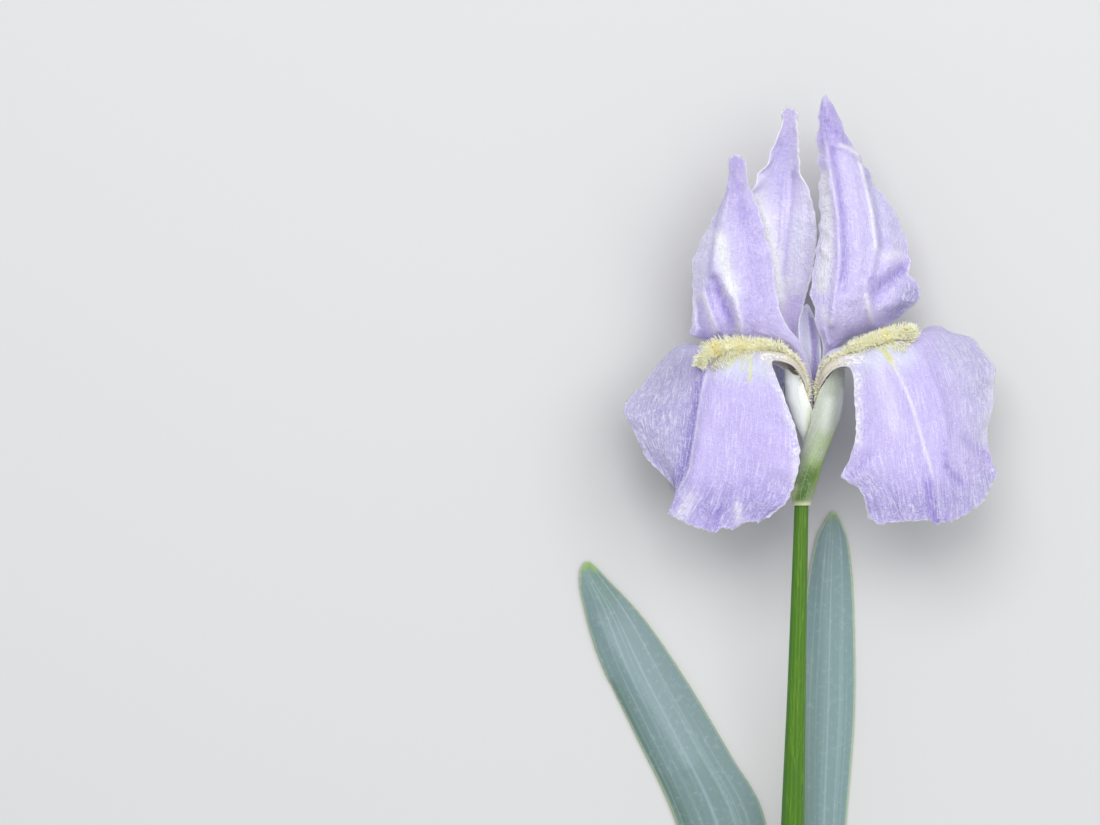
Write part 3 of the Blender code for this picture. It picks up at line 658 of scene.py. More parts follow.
FRONT_WASHES = [
    # Painted shade: the greyer band where the left margin turns away.
    ((214, 213, 240), 0.85, 2.6, [(-26, 50), (-29.6, 40), (-30.2, 31)]),
    # A painted highlight on the swelling left of the middle, then a painted highlight and a painted shade on
    # two small folds below it.
    ((255, 255, 255), 1.0, 2.0, [(-24.6, 43), (-23.6, 35), (-21.5, 29.5)]),
    (NEAR_WHITE, 0.7, 0.7, [(-29.4, 28), (-27.4, 22.5), (-26.0, 18)]),
    (VIOLET, 0.6, 0.7, [(-28.2, 30), (-26.4, 23.5), (-24.6, 18)]),
    (VIOLET, 0.7, 2.0, [(-20.4, 64), (-20.6, 58), (-18.8, 48)]),
    (VIOLET, 0.5, 2.4, [(-16.5, 50), (-15, 40), (-14, 30)]),
    # Painted shade in the deep crease low on the left, then along the fold line beside the grey margin.
    (DEEP_VIOLET, 0.75, 1.7, [(-26.2, 32), (-24.8, 27), (-22.2, 21.5)]),
    ((176, 166, 226), 0.6, 0.6, [(-24.6, 52), (-26.4, 44), (-27.4, 36), (-27.0, 30)]),
    # Painted shade in a crease, a painted highlight on a ridge, and painted shade in another crease.
    (VIOLET, 0.55, 1.0, [(-30.6, 26), (-29.4, 20), (-28.8, 17)]),
    (NEAR_WHITE, 0.6, 0.8, [(-20.8, 28), (-20, 22), (-19.5, 18)]),
    (VIOLET, 0.5, 1.6, [(-16, 24), (-15, 17)]),
    (VIOLET, 0.35, 3.0, [(-13, 26), (-10.5, 18)]),
    # Painted highlight on a small ridge by the left margin.
    (NEAR_WHITE, 0.5, 0.9, [(-31.6, 27), (-31.8, 20)]),
]
MIDDLE_SPEC = {
    "presses": [
        (1.0, 1.5, [(-14.6, 54), (-11.8, 45), (-10.2, 35), (-9.0, 27)]),
        (-0.9, 1.0, [(-5.0, 60), (-5.6, 50), (-6.6, 43), (-7.6, 34), (-7.8, 28)]),
        (0.6, 1.2, [(-2.4, 57), (-2.6, 46), (-3.6, 35), (-4.2, 28)]),
        (-0.5, 1.0, [(-8.2, 68), (-9.2, 58), (-9.4, 50)]),
    ],
    "ruffle": (0.35, 9.0),
    "tip_ruffle": 0.12,
    "left": [(56, 0), (58, -0.5), (62, -0.9), (66, -0.6), (70, -0.2), (74.5, -0.8), (77, 0)],
    "right": [(56, 0), (60.5, -1.4), (64, -0.9), (68, -0.3), (72, 0), (74.5, -0.5), (77, 0)],
    "frill": 0.17,
}
MIDDLE_WASHES = [
    # Painted highlight on the ridge beside the front standard's edge.
    ((255, 255, 255), 1.0, 2.2, [(-14.8, 53), (-12, 44), (-10.2, 35), (-8.8, 27)]),
    (VIOLET, 0.65, 2.2, [(-6, 78), (-6.4, 72), (-8, 66)]),
    # Painted shade in the groove down the middle.
    (VIOLET, 0.5, 0.8, [(-4.6, 62), (-5.4, 50), (-6.6, 42), (-7.4, 34)]),
    (VIOLET, 0.55, 0.3, [(-7.6, 64), (-8.3, 52), (-8.9, 42)]),
    (VIOLET, 0.45, 0.3, [(-6.6, 64), (-7.2, 52), (-7.9, 40)]),
    ((212, 209, 244), 0.6, 1.6, [(-0.6, 56), (0.0, 46), (-0.8, 34), (-2, 27)]),
    ((222, 224, 255), 0.6, 1.6, [(-4.0, 47), (-4.4, 38)]),
    ((190, 180, 238), 0.85, 4.5, [(-8, 68), (-9, 62), (-8.5, 57)]),
    ((204, 186, 250), 0.9, 3.2, [(-4.4, 25), (-5, 17), (-5, 12)]),
]
RIGHT_SPEC = {
    "presses": [
        (0.9, 0.9, [(3.3, 71), (5, 60), (6.9, 48), (7.3, 37), (6.2, 28), (5.4, 20)]),
        (-1.3, 1.0, [(4.2, 74), (5.8, 66), (7.3, 58), (8.6, 48), (9.0, 38), (8.2, 29)]),
        (0.9, 1.7, [(9.6, 66), (11.2, 56), (12.6, 46), (12.6, 36), (11, 27)]),
        (1.1, 0.9, [(12, 66.5), (13.8, 60), (15.8, 52), (17.2, 42), (15.8, 33)]),
        (-1.2, 1.3, [(14, 65), (16.2, 59), (18.5, 51), (19.6, 42), (18.2, 35)]),
        (-2.4, 2.4, [(17.8, 28), (21, 31.5), (24.5, 34.5)]),
        (1.2, 1.1, [(14.2, 31), (15.2, 25), (16.4, 20)]),
        (1.0, 1.6, [(21, 24.5), (25, 26.5), (28.5, 27.5)]),
        (0.7, 0.8, [(2.6, 40), (4.6, 38)]),
        (0.7, 0.8, [(2.4, 46), (5.2, 43.5)]),
        (0.6, 0.8, [(3.2, 64), (4.4, 60), (4.6, 56)]),
        (0.9, 0.7, [(3.2, 18.5), (4.6, 14.5)]),
        (1.0, 1.0, [(5.6, 68.2), (8.4, 67.8), (11.6, 65.8)]),
        (-1.0, 0.9, [(6.4, 71.2), (9.0, 70.4), (11.6, 68.4)]),
    ],
    "ruffle": (0.4, 9.0),
    "tip_ruffle": 0.12,
    "left": [(21, 0), (24.5, -1.0), (28, 0.4), (30, 0.0), (42, -0.5), (51, -0.4), (55, 0.2), (60, -0.4),
             (66, 0), (70, 0.2), (74, -0.1)],
    "right": [(20.5, 0), (24, -0.4), (27, 0.3), (29, 0.6), (31, 0.1), (33.4, -2.7), (34.6, -1.6), (37, 0.1),
              (43, 0.2), (50, 0), (60, -0.3), (62, -0.6), (67, 1.0), (68.5, 0.2)],
    "frill": 0.17,
    "crimp": (0.8, [(1.25, 2.0, [(3.0, 60), (3.8, 46), (2.6, 30)]), (1.4, 3.0, [(27, 26), (24, 30)])]),
}
RIGHT_WASHES = [
    # Painted highlight on the rolled left margin.
    ((252, 250, 255), 1.0, 1.8, [(3.0, 60), (4.2, 50), (4.0, 40), (2.8, 30)]),
    (VIOLET, 0.85, 1.3, [(3.0, 78), (3.2, 70)]),
    # Painted shade in the groove beside the rolled margin.
    (DEEP_VIOLET, 0.6, 0.8, [(5.0, 68), (6.6, 60), (8.0, 50), (8.7, 40), (8.0, 32)]),
    (VIOLET, 1.0, 2.6, [(4.6, 77), (6.4, 72), (8.6, 69.5)]),
    # Painted shade and a painted highlight along the step of a fold: a dark line, then a white line on its
    # edge.
    ((158, 149, 208), 0.65, 0.7,
     [(8.2, 69.9), (11, 68.6), (13.3, 67), (13.9, 64), (15.4, 57.5), (17.2, 50), (18.4, 41)]),
    (NEAR_WHITE, 0.85, 0.42,
     [(7.5, 68.3), (10, 67.4), (12.1, 66.2), (12.5, 64.9), (14.2, 58), (15.9, 50.5), (17.2, 40.4)]),
    # Painted shade where the right part turns away.
    (GREY_VIOLET, 0.8, 2.6, [(16.4, 58), (20.5, 50), (22.5, 42)]),
    (NEAR_WHITE, 0.5, 1.6, [(20, 38), (23, 39)]),
    # Painted shade in the hollow low on the right, this line and the next.
    (DEEP_VIOLET, 0.85, 2.2, [(18.4, 30.5), (22, 33), (24.6, 34.6)]),
    (VIOLET, 0.6, 1.6, [(16.4, 32), (17, 26)]),
    # Painted highlight on a small ridge.
    (NEAR_WHITE, 0.7, 0.7, [(14.4, 28), (15.4, 24), (16, 20)]),
    ((144, 139, 188), 0.9, 2.9, [(23, 24.0), (27.4, 28.4)]),
    (NEAR_WHITE, 0.6, 1.0, [(3.2, 24), (4.2, 20)]),
    # Painted highlight on a small ridge at the base.
    (NEAR_WHITE, 0.6, 0.7, [(3.0, 14), (4.2, 15.5)]),
    (VIOLET, 0.4, 2.0, [(5, 18), (5, 12)]),
]

# %% [markdown]
# ## Make the standards
#
# The grid is fine enough for the narrowest fold. The front and the right standard catch the lamps more
# squarely than the middle one, so their colours are darkened a little. The middle one stands in the front
# one's shade, so its base is painted lighter.

# %% Make the standards
PETAL_CELLS = (110, 170)
PETAL_THICKNESS = 0.34
PETAL_CRIMP = (0.8, ())
STANDARD_DEPTH = 0.885


def make_petal(name, cage, slack, spec, washes, seed, base=LAVENDER, depth=1.0):
    """One petal: its shape, its colours, darkened by depth, a painted shade for how squarely it faces the
    lamps, and its mesh.
    """
    points = shape_sheet(Surface(cage, slack), PETAL_CELLS, spec, seed)
    tint = paint(points, base, washes, (NEAR_WHITE, 0.7, 0.7), spec.get("painted_glints", ()))
    # Painted shade: depth darkens the petals that face the lamps squarely.
    tint[..., :3] *= depth
    crimp = crimp_of(points, *spec.get("crimp", PETAL_CRIMP))
    settle(make_sheet(name + "_petal", points, tint, PETAL_THICKNESS, PETAL, crimp), name)


for name, cage, spec, washes, seed, base, depth in (
    ("front_standard", FRONT_STANDARD, FRONT_SPEC, FRONT_WASHES, 11, STANDARD_BASE, STANDARD_DEPTH),
    ("middle_standard", MIDDLE_STANDARD, MIDDLE_SPEC, MIDDLE_WASHES, 21, MIDDLE_LIGHTENED_BASE, 1.0),
    ("right_standard", RIGHT_STANDARD, RIGHT_SPEC, RIGHT_WASHES, 31, STANDARD_BASE, STANDARD_DEPTH),
):
    make_petal(name, cage, STANDARD_SLACK, spec, washes, seed, base, depth)

# %% [markdown]
# ## The three falls
#
# A fall leaves the throat on a narrow claw, arches over and hangs. The ridge of the arch carries the
# beard, and the blade falls away on both sides of it like a saddle cloth, so its cage runs from the
# near margin over the ridge to the far one. The back fall hangs to the floor, and its blade lies there.

# %% Cages of the falls
LEFT_FALL = [
    [(-0.5, -3, 3.4), (-1.9, -3, 2.9), (-2.8, -3, 1.9), (-3.3, -3, 0.6), (-3.2, -3, -0.8)],
    [(-1.1, 1.2, 3.6), (-1.6, 3.4, 3.6), (-2.6, 5.2, 3.0), (-4.2, 4.6, 0.8), (-4.6, 3.0, -1.8)],
    [(-2.5, 5.4, 6.0), (-3.1, 8.0, 6.0), (-4.4, 9.9, 4.6), (-6.2, 9.4, 1.2), (-7.4, 7.8, -3.0)],
    [(-5.4, 8.9, 8.6), (-6.4, 10.8, 8.2), (-8.2, 12.2, 5.4), (-9.8, 11.4, 0.6), (-11.0, 9.4, -5.0)],
    [(-10.6, 10.0, 11.0), (-11.4, 11.6, 10.0), (-13.2, 13.0, 6.4), (-14.4, 11.4, -0.8), (-15.4, 8.0, -8.0)],
    [(-9.3, 5.0, 12.2), (-14.0, 10.6, 11.0), (-18.8, 13.6, 6.8), (-20.2, 11.6, -2.4), (-22.0, 8.0, -11)],
    [(-7.0, -1.0, 13.0), (-16, 7.6, 12.8), (-24.4, 13.2, 7.2), (-27.8, 13.6, -2.6), (-31.2, 14.2, -10)],
    [(-4.2, -9, 13.5), (-17.5, 0.5, 14.0), (-29.2, 9.6, 8.6), (-34.3, 12.6, -1.0), (-37.2, 13.4, -8)],
    [(-3.3, -16, 13.5), (-18, -8, 14.6), (-29.8, 0.5, 11.2), (-38, 3.2, 3.0), (-46.2, 3.2, -5)],
    [(-4.6, -23, 13.0), (-18.6, -17, 14.6), (-30.8, -9.5, 12.6), (-40.6, -5, 6.0), (-50.6, -2.6, -1)],
    [(-6.6, -27.6, 12.6), (-20, -26, 14.2), (-32.6, -20.5, 13.6), (-40, -14, 9.0), (-47.2, -10.8, 3)],
    [(-11.8, -32.4, 12.2), (-23.5, -35.6, 13.6), (-38.6, -31.2, 13.4), (-35.6, -26.0, 10.4),
     (-44.6, -16.2, 6)],
]
RIGHT_FALL = [
    [(0.5, -3, 3.4), (1.9, -3, 2.9), (2.8, -3, 1.9), (3.3, -3, 0.6), (3.2, -3, -0.8)],
    [(1.5, 1.2, 3.6), (1.7, 3.4, 3.6), (2.7, 5.2, 3.0), (4.4, 4.6, 0.8), (4.9, 3.0, -1.8)],
    [(3.2, 4.8, 7.6), (3.3, 7.6, 7.2), (4.6, 9.6, 4.8), (6.6, 9.2, 1.2), (7.8, 7.4, -3.0)],
    [(6.2, 7.9, 9.4), (6.8, 9.8, 8.6), (8.6, 11.6, 5.8), (10.6, 11.0, 0.6), (11.8, 9.0, -5.0)],
    [(9.8, 8.4, 11.0), (11.2, 10.6, 10.2), (13.4, 13.0, 6.4), (15.4, 12.2, -0.8), (17.0, 9.0, -8.0)],
    [(11.2, 5.5, 12.4), (15.2, 11.2, 11.8), (18.8, 14.8, 6.8), (21.6, 14.2, -2.4), (24.0, 12.0, -10)],
    [(11.5, -1.0, 13.2), (18, 8.6, 13.6), (24.2, 16.4, 7.2), (28.2, 17.4, -2.0), (31.0, 19.0, -9)],
    [(11.9, -9.0, 13.6), (20.6, 3.0, 14.4), (28.8, 14.6, 7.8), (34.8, 17.4, 0), (39.6, 17.3, -7)],
    [(10.2, -16.6, 13.6), (22, -5, 14.8), (33.2, 4.0, 10.6), (41, 9.6, 3.0), (47.8, 11.2, -4)],
    [(8.0, -21.2, 13.4), (22.8, -14.5, 14.8), (35.6, -7, 12.4), (43.2, -2.4, 6.0), (49.2, 1.0, 0)],
    [(13.0, -25.0, 13.2), (24.6, -24.5, 14.6), (36.6, -19, 13.4), (43.6, -15.5, 8.4), (47.4, -11, 3)],
    [(15.4, -32.8, 13.0), (26.6, -33.8, 14.2), (37.4, -33.2, 13.2), (45.2, -28.8, 9.8), (50.0, -19.6, 6)],
]
BLADE_Z = FLOOR + 0.35  # the middle of a blade that lies on the surface
BACK_FALL = [
    [(-2.6, -3, -2.2), (-1.5, -3, -3.0), (0.0, -3, -3.4), (1.5, -3, -3.0), (2.6, -3, -2.2)],
    [(-5.2, 4.2, -6.2), (-3.6, 5.2, -7.6), (-1.8, 5.6, -8.4), (0.2, 5.2, -8.2), (1.8, 4.4, -7.4)],
    [(-9.4, 9.0, -11.4), (-7.4, 10.6, -12.0), (-5.2, 11.4, -12.6), (-3.4, 11.0, -12.8), (-2.2, 9.6, -12.6)],
    [(-16.6, 11, -17), (-13.4, 13.0, -16.6), (-10, 13.8, -17), (-7.6, 12.8, -17.6), (-5.6, 11.0, -17.8)],
    [(-28, 9.0, -22.6), (-22, 11.4, -21.8), (-15.6, 12, -21.8), (-11, 10.4, -22.4), (-6.9, 7.6, -22.8)],
    [(-37.5, -0.5, BLADE_Z), (-29, 3.4, -26.2), (-19.6, 4.6, -25.6), (-13, 3.6, -26.2), (-7.5, 1, BLADE_Z)],
    [(-41, -12, BLADE_Z), (-31, -10, BLADE_Z), (-21.4, -9, BLADE_Z), (-14, -9, BLADE_Z),
     (-7.6, -10, BLADE_Z)],
    [(-38, -23, BLADE_Z), (-30, -23, BLADE_Z), (-22, -23, BLADE_Z), (-15, -22, BLADE_Z), (-8, -20, BLADE_Z)],
    [(-31, -30, BLADE_Z), (-28, -32, BLADE_Z), (-23, -33, BLADE_Z), (-17.6, -31.6, BLADE_Z),
     (-12, -28, BLADE_Z)],
]

# %% [markdown]
# ## Folds and colours of the falls
#
# The near half of a side fall is the bright face, pale blue under the beard and violet at its hem. The far
# half turns away, and its greyer washes are painted shade; so are the violet strokes down the left fall's
# valley, beside the right fall's ridge and in the creases of the hem, while white strokes on the pleats are
# painted highlights. The haft is cream, with a dark line along its edge. "painted_glints" says where the skin
# sparkles, a painted glint, and "crimp" how strongly it is crinkled: a base value, then washes of it.

# %% Presses and washes of the falls
HAFT = (250, 238, 196)
HAFT_DARK = (180, 168, 96)
YELLOW_GREEN = (222, 224, 110)
PALE_BLUE = (222, 228, 248)
RIDGE_SLACK = [1, 1, 0.6, 1, 1]

LEFT_FALL_SPEC = {
    "presses": [
        (-0.9, 1.5, [(-27.2, 8), (-29.6, 0), (-31.4, -9), (-33.4, -18), (-35, -24)]),
        (0.45, 1.2, [(-20.2, -24), (-20, -34)]),
        (-0.5, 1.0, [(-17.4, -24), (-17, -33)]),
        (0.5, 1.1, [(-13.8, -22), (-14, -33)]),
        (-0.45, 1.0, [(-23.4, -24), (-24.2, -34)]),
        (0.9, 1.2, [(-26.2, -29), (-26.2, -37)]),
        (-0.6, 1.2, [(-28.6, -25), (-29.6, -35)]),
        (0.4, 1.4, [(-32, -24), (-34.5, -33)]),
        (-0.7, 1.5, [(-37, 5), (-47, 2)]),
        (0.6, 1.5, [(-36, -1), (-49, -5)]),
        (-0.6, 1.6, [(-37, -8), (-46, -12)]),
        (0.5, 1.5, [(-36, 10), (-41, 9)]),
    ],
    "ruffle": (0.35, 11.0),
    "tip_ruffle": 0.25,
    "hem": [(-37, 0.2), (-33, 0.8), (-30, 1.0), (-27, 1.1), (-25.9, 1.4), (-25.5, 1.0), (-24.9, -0.5),
            (-23, -0.4), (-21, 0.0), (-20, -0.6), (-19, -1.6), (-17, -1.0), (-15.5, -0.5), (-14.5, 0.5),
            (-13.2, 0.4), (-12.9, -0.8), (-12, 0.0)],
    "frill": 0.2,
    "painted_glints": [
        (0.9, 1.3, [(-8, 11.6), (-12.6, 11)]),
        (0.35, 1.2, [(-10, 6), (-7, -1), (-4.6, -8), (-4.4, -15)], (-0.1, 0.3)),
    ],
    "crimp": (0.35, [
        (1.0, 12.0, [(-38, 9), (-44, -1), (-42, -14)], (0.52, 1.1)),
        (0.8, 5.0, [(-8, -28), (-20, -31), (-36, -30)]),
    ]),
}
LEFT_FALL_WASHES = [
    # Painted shade: the far half turns away and is greyer.
    ((176, 173, 216), 0.95, 9.0, [(-38, 9), (-43, -1), (-41, -14)], (0.52, 1.01)),
    ((190, 190, 226), 0.6, 2.6, [(-36, 13), (-43, 6), (-49, -1), (-45, -13)], (0.54, 1.01)),
    # Painted shade down the valley between the near and the far half, this line and the next.
    ((134, 124, 192), 0.95, 2.6, [(-28.5, 8), (-31, -4), (-33.5, -15), (-36, -23)], (0.50, 1.01)),
    ((112, 103, 172), 0.7, 0.7, [(-29.0, 8), (-30.5, 2.5), (-31.7, -5), (-33.8, -19), (-37.0, -25)]),
    (NEAR_WHITE, 0.45, 0.35, [(-28.0, 8), (-29.6, 2.5), (-30.7, -5), (-32.8, -19), (-36.0, -25)]),
    # Painted shade on the far half near the arch.
    ((164, 156, 210), 0.6, 2.0, [(-33, 10), (-38, 6)], (0.54, 1.01)),
    ((158, 147, 209), 0.85, 6.5, [(-12, -29), (-20, -29), (-32, -28)], (-0.1, 0.52)),
    ((210, 217, 238), 0.9, 3.6, [(-24, 9), (-18, 8.5), (-13, 8)], (-0.1, 0.5)),
    (NEAR_WHITE, 0.55, 1.6, [(-10.5, 7), (-7.2, 0), (-5, -8)], (-0.1, 0.4)),
    (NEAR_WHITE, 0.55, 0.9, [(-4, -14), (-5, -23)], (-0.1, 0.4)),
    (VIOLET, 0.30, 5.0, [(-16, -8), (-17, -26)], (-0.1, 0.5)),
    # Painted highlights on the pleats of the hem, this line and the next.
    (NEAR_WHITE, 0.6, 1.3, [(-20, -29), (-19.6, -33)], (-0.1, 0.5)),
    (NEAR_WHITE, 0.5, 2.2, [(-33, -27), (-35, -31)], (-0.1, 0.55)),
    # Painted shade in the crease where the hem's corner curls.
    (DEEP_VIOLET, 0.85, 1.3, [(-25.4, -30), (-26.0, -36.8)], (-0.1, 0.55)),
    (DEEP_VIOLET, 0.6, 0.9, [(-38.6, -29.6), (-36.6, -27.6)], (-0.1, 0.6)),
    (YELLOW_GREEN, 0.9, 0.4, [(-16.4, 11), (-16.8, 4.6)], (-0.1, 0.5)),
    (YELLOW_GREEN, 0.5, 0.4, [(-18.8, 10.4), (-18.5, 7.6)], (-0.1, 0.5)),
    (YELLOW_GREEN, 0.45, 1.0, [(-17, 11.0), (-21.4, 11.0)], (-0.1, 0.5)),
    (YELLOW_GREEN, 0.7, 0.6, [(-20.6, 11.4), (-22.4, 8.6)], (-0.1, 0.5)),
    (YELLOW_GREEN, 0.3, 0.5, [(-22, 10.6), (-23.6, 7.4)], (-0.1, 0.5)),
    (HAFT, 1.0, 2.6, [(0, -3), (-1.5, 2), (-4, 7), (-7, 10.4), (-10.4, 11.6)]),
    (HAFT_DARK, 0.75, 0.8, [(-0.6, -3), (-1.2, 1), (-2.6, 5.2), (-4.6, 7.9), (-7.2, 9.4), (-10.6, 10.2)]),
    ((240, 234, 240), 0.9, 0.9, [(-8.5, 11.6), (-12, 11.4)]),
]
RIGHT_FALL_SPEC = {
    "presses": [
        (0.7, 1.2, [(23.5, 15), (27, 13), (30, 9.6), (32.4, 5.5), (34.2, 1), (35.4, -4), (36.2, -11)]),
        (-0.35, 0.6, [(19, 13), (21.4, 10.2), (24, 5), (27, -2), (29.7, -11), (33, -22), (36, -31)]),
        (-0.6, 1.4, [(15, -16), (10.4, -20.5)]),
        (-1.2, 0.9, [(36.4, -19), (38, -21.5), (40.4, -23.2)]),
        (-1.0, 1.3, [(41.5, -11), (45.5, -15), (50, -17)]),
        (0.8, 1.3, [(42, -16), (46, -18.5), (49.5, -21)]),
        (-0.9, 1.0, [(31, -20), (32.8, -34)]),
        (0.8, 1.2, [(33.4, -22), (35.4, -33.6)]),
        (0.4, 1.1, [(18, -25), (18.6, -34)]),
        (-0.4, 0.9, [(20.8, -25), (21.4, -34)]),
        (0.35, 1.0, [(24, -25), (24.6, -34)]),
        (-0.5, 1.5, [(38, 12), (46, 10)]),
        (0.5, 1.5, [(38, 7), (48, 5)]),
        (-0.4, 1.5, [(38, 1), (48, -2)]),
    ],
    "ruffle": (0.35, 11.0),
    "tip_ruffle": 0.25,
    "hem": [(15.4, 0), (16, -0.1), (17.8, 1.1), (18.6, 1.3), (19.2, 0.6), (21, 0.4), (24, -0.3), (27, -0.6),
            (32.8, -0.7), (33.1, 0.7), (33.5, 0.8), (35, 0.1), (38, 0.2), (40, 0.2), (43.8, -0.2), (46, 0.5)],
    "frill": 0.2,
    "painted_glints": [
        (1.0, 1.5, [(8.4, 10), (12.6, 10.6)]),
        (0.45, 1.3, [(12.6, 6), (12.4, -2), (12.0, -12)], (-0.1, 0.3)),
    ],
    "crimp": (0.35, [
        (1.0, 8.0, [(44, 12), (48, 0), (47, -14), (48, -24)], (0.5, 1.1)),
        (0.8, 5.0, [(12, -20), (20, -31), (40, -30)]),
    ]),
}
RIGHT_FALL_WASHES = [
    # Painted shade: the far half turns away and is greyer, this line and the next.
    (GREY_VIOLET, 0.75, 5.0, [(36, 14), (45, 11), (47, 3)], (0.52, 1.01)),
    ((196, 192, 232), 0.6, 4.5, [(40, 6), (44, -2), (45, -10)], (0.52, 1.01)),
    (NEAR_WHITE, 0.45, 1.6, [(49, 6), (48, -4), (46.6, -11)], (0.52, 1.01)),
    # Painted shade on the far half, and in the next line beside the ridge where the blade turns away.
    (GREY_VIOLET, 0.6, 3.0, [(48, -22), (44, -28)], (0.5, 1.01)),
    ((180, 168, 228), 0.55, 1.8, [(27, 15.6), (30.5, 11.6), (33.5, 6), (36, -1), (37.4, -9)], (0.5, 1.01)),
    ((216, 221, 246), 0.9, 3.4, [(13, 10.6), (17, 11), (22, 13), (25, 11)], (-0.1, 0.52)),
    (NEAR_WHITE, 0.45, 1.4, [(12.2, 6), (12.6, -4), (12.4, -12)], (-0.1, 0.4)),
    (NEAR_WHITE, 0.85, 0.45, [(21.4, 10), (24, 5), (27, -2), (29.7, -11), (32.4, -20)], (-0.1, 0.6)),
    (NEAR_WHITE, 0.5, 0.4, [(32.4, -20), (34.4, -26), (36.4, -31.6)], (-0.1, 0.6)),
    (NEAR_WHITE, 0.35, 2.2, [(18, 8), (21, -2), (22.5, -8)], (-0.1, 0.5)),
    (YELLOW_GREEN, 0.95, 0.8, [(17.6, 14), (19.4, 13), (21.2, 10.4)], (-0.1, 0.52)),
    (YELLOW_GREEN, 0.5, 0.7, [(20.6, 11.4), (22.4, 8)], (-0.1, 0.52)),
    ((236, 240, 200), 0.6, 0.9, [(20, 14.6), (24, 13.6)], (-0.1, 0.56)),
    # Painted shade in a groove of the near half.
    (VIOLET, 0.6, 1.6, [(15.5, -16), (10.6, -20.6)], (-0.1, 0.4)),
    ((160, 151, 208), 0.85, 6.5, [(16, -28), (27, -29), (40, -27)], (-0.1, 1.01)),
    # Painted shade: grey on the far half near the hem.
    ((180, 176, 220), 0.7, 3.0, [(48, -22), (44, -27)], (0.5, 1.01)),
    # Painted shade in the creases of the hem, this line and the next two.
    (DEEP_VIOLET, 0.85, 1.3, [(31.0, -23), (33.2, -33.6), (36, -33.0)], (-0.1, 0.6)),
    (DEEP_VIOLET, 0.6, 1.1, [(35.8, -15), (37, -20), (40, -23)], (0.4, 1.01)),
    (VIOLET, 0.6, 1.3, [(42, -12), (46, -15.6), (50, -17.4)], (0.5, 1.01)),
    (HAFT, 1.0, 2.6, [(0, -3), (2.2, 2), (4.6, 7), (7.6, 9.6)]),
    (HAFT_DARK, 0.8, 0.8, [(0.6, -3), (1.6, 1.4), (3.2, 4.8), (5.2, 7.0), (7.4, 8.3), (9.4, 8.5)]),
    ((242, 236, 244), 0.9, 1.2, [(8.6, 10.4), (12.6, 11.4)]),
]
BACK_SPEC = {"ruffle": (0.3, 9.0), "frill": 0.2,
             "presses": [(0.5, 1.4, [(-22, 0), (-23, -30)]), (0.3, 1.0, [(-30, -6), (-32, -28)])]}
BACK_WASHES = [
    # Painted shade: grey blue on the haft of the back fall, deep under the others.
    ((166, 172, 216), 0.95, 7.0, [(-6.5, 10), (-8.5, 6), (-9, 0)]),
    (PALE_BLUE, 0.7, 4.0, [(-12, 10), (-18, 6)]),
]

# %% [markdown]
# ## Make the falls
#
# The falls face the lamps squarely, so their colours are darkened most.

# %% Make the falls
FALL_DEPTH = 0.77

for name, cage, spec, washes, seed in (
    ("left_fall", LEFT_FALL, LEFT_FALL_SPEC, LEFT_FALL_WASHES, 41),
    ("right_fall", RIGHT_FALL, RIGHT_FALL_SPEC, RIGHT_FALL_WASHES, 51),
    ("back_fall", BACK_FALL, BACK_SPEC, BACK_WASHES, 61),
):
    make_petal(name, cage, RIDGE_SLACK, spec, washes, seed, depth=FALL_DEPTH)

# %% [markdown]
# ## Rods and hairs
#
# A rod starts as a small circle that is extruded ring by ring, and its rings are then laid along a
# route. The scape, the core of a beard and every single hair are such rods. A particle system could
# grow the hairs, but it doesn't give a mesh with plain copies, so one hair is modelled and laid out
# again and again by its root, its direction and its bend.

# %% Rod helper


def make_rod(name, sides, rings):
    """A closed rod of radius 1 whose rings stand at z = 0, 1, 2 and so on."""
    bpy.ops.object.select_all(action="DESELECT")
    bpy.ops.mesh.primitive_circle_add(vertices=sides, radius=1.0, fill_type="NGON", location=(0, 0, 0))
    obj = bpy.context.object
    obj.name = name
    bpy.ops.object.mode_set(mode="EDIT")
    bpy.ops.mesh.select_all(action="SELECT")
    for _ in range(rings - 1):
        bpy.ops.mesh.extrude_region_move(TRANSFORM_OT_translate={"value": (0, 0, 1)})
    bpy.ops.mesh.select_all(action="SELECT")
    bpy.ops.mesh.normals_make_consistent(inside=False)
    bpy.ops.object.mode_set(mode="OBJECT")
    return obj


def rod_places(obj):
    """Each vertex's ring and its direction round the rod."""
    flat = vertex_places(obj.data)
    return np.rint(flat[:, 2]).astype(int), flat[:, :2].copy()


def frames(route):
    """Tangent, side and upper direction along a route of points."""
    tangent = unit(np.gradient(route, axis=0))
    side = unit(np.cross(tangent, np.array([0.0, 0.0, 1.0])))
    upper = np.cross(side, tangent)
    return tangent, side, upper


def resample(stations, count):
    """count points of the smooth curve through (x, y, z, radius) stations, in real places."""
    stations = np.asarray(stations, float)
    weights = blend_weights(len(stations), np.linspace(0, len(stations) - 1, count))
    return weights @ place(stations[:, :3]), weights @ stations[:, 3]


def lay_rod(name, stations, sides, rings, material, tint, ribs=None):
    """A rod along stations. tint(angle, reach) is its colour round it and from 0 at its first station
    to 1 at its last, and ribs(angle) adds to its radius."""
    obj = make_rod(name, sides, rings)
    ring, direction = rod_places(obj)
    route, radius = resample(stations, rings)
    tangent, side, upper = frames(route)
    angle = np.arctan2(direction[:, 1], direction[:, 0])
    reach = radius[ring] + (ribs(angle) if ribs else 0.0)
    spots = route[ring] + reach[:, None] * (
        side[ring] * direction[:, :1] + upper[ring] * direction[:, 1:]
    )
    obj.data.vertices.foreach_set("co", (spots * MM + THROAT).ravel())
    add_wash(obj.data, tint(angle, ring / (rings - 1)))
    obj.data.shade_smooth()
    obj.data.materials.append(material)
    return obj


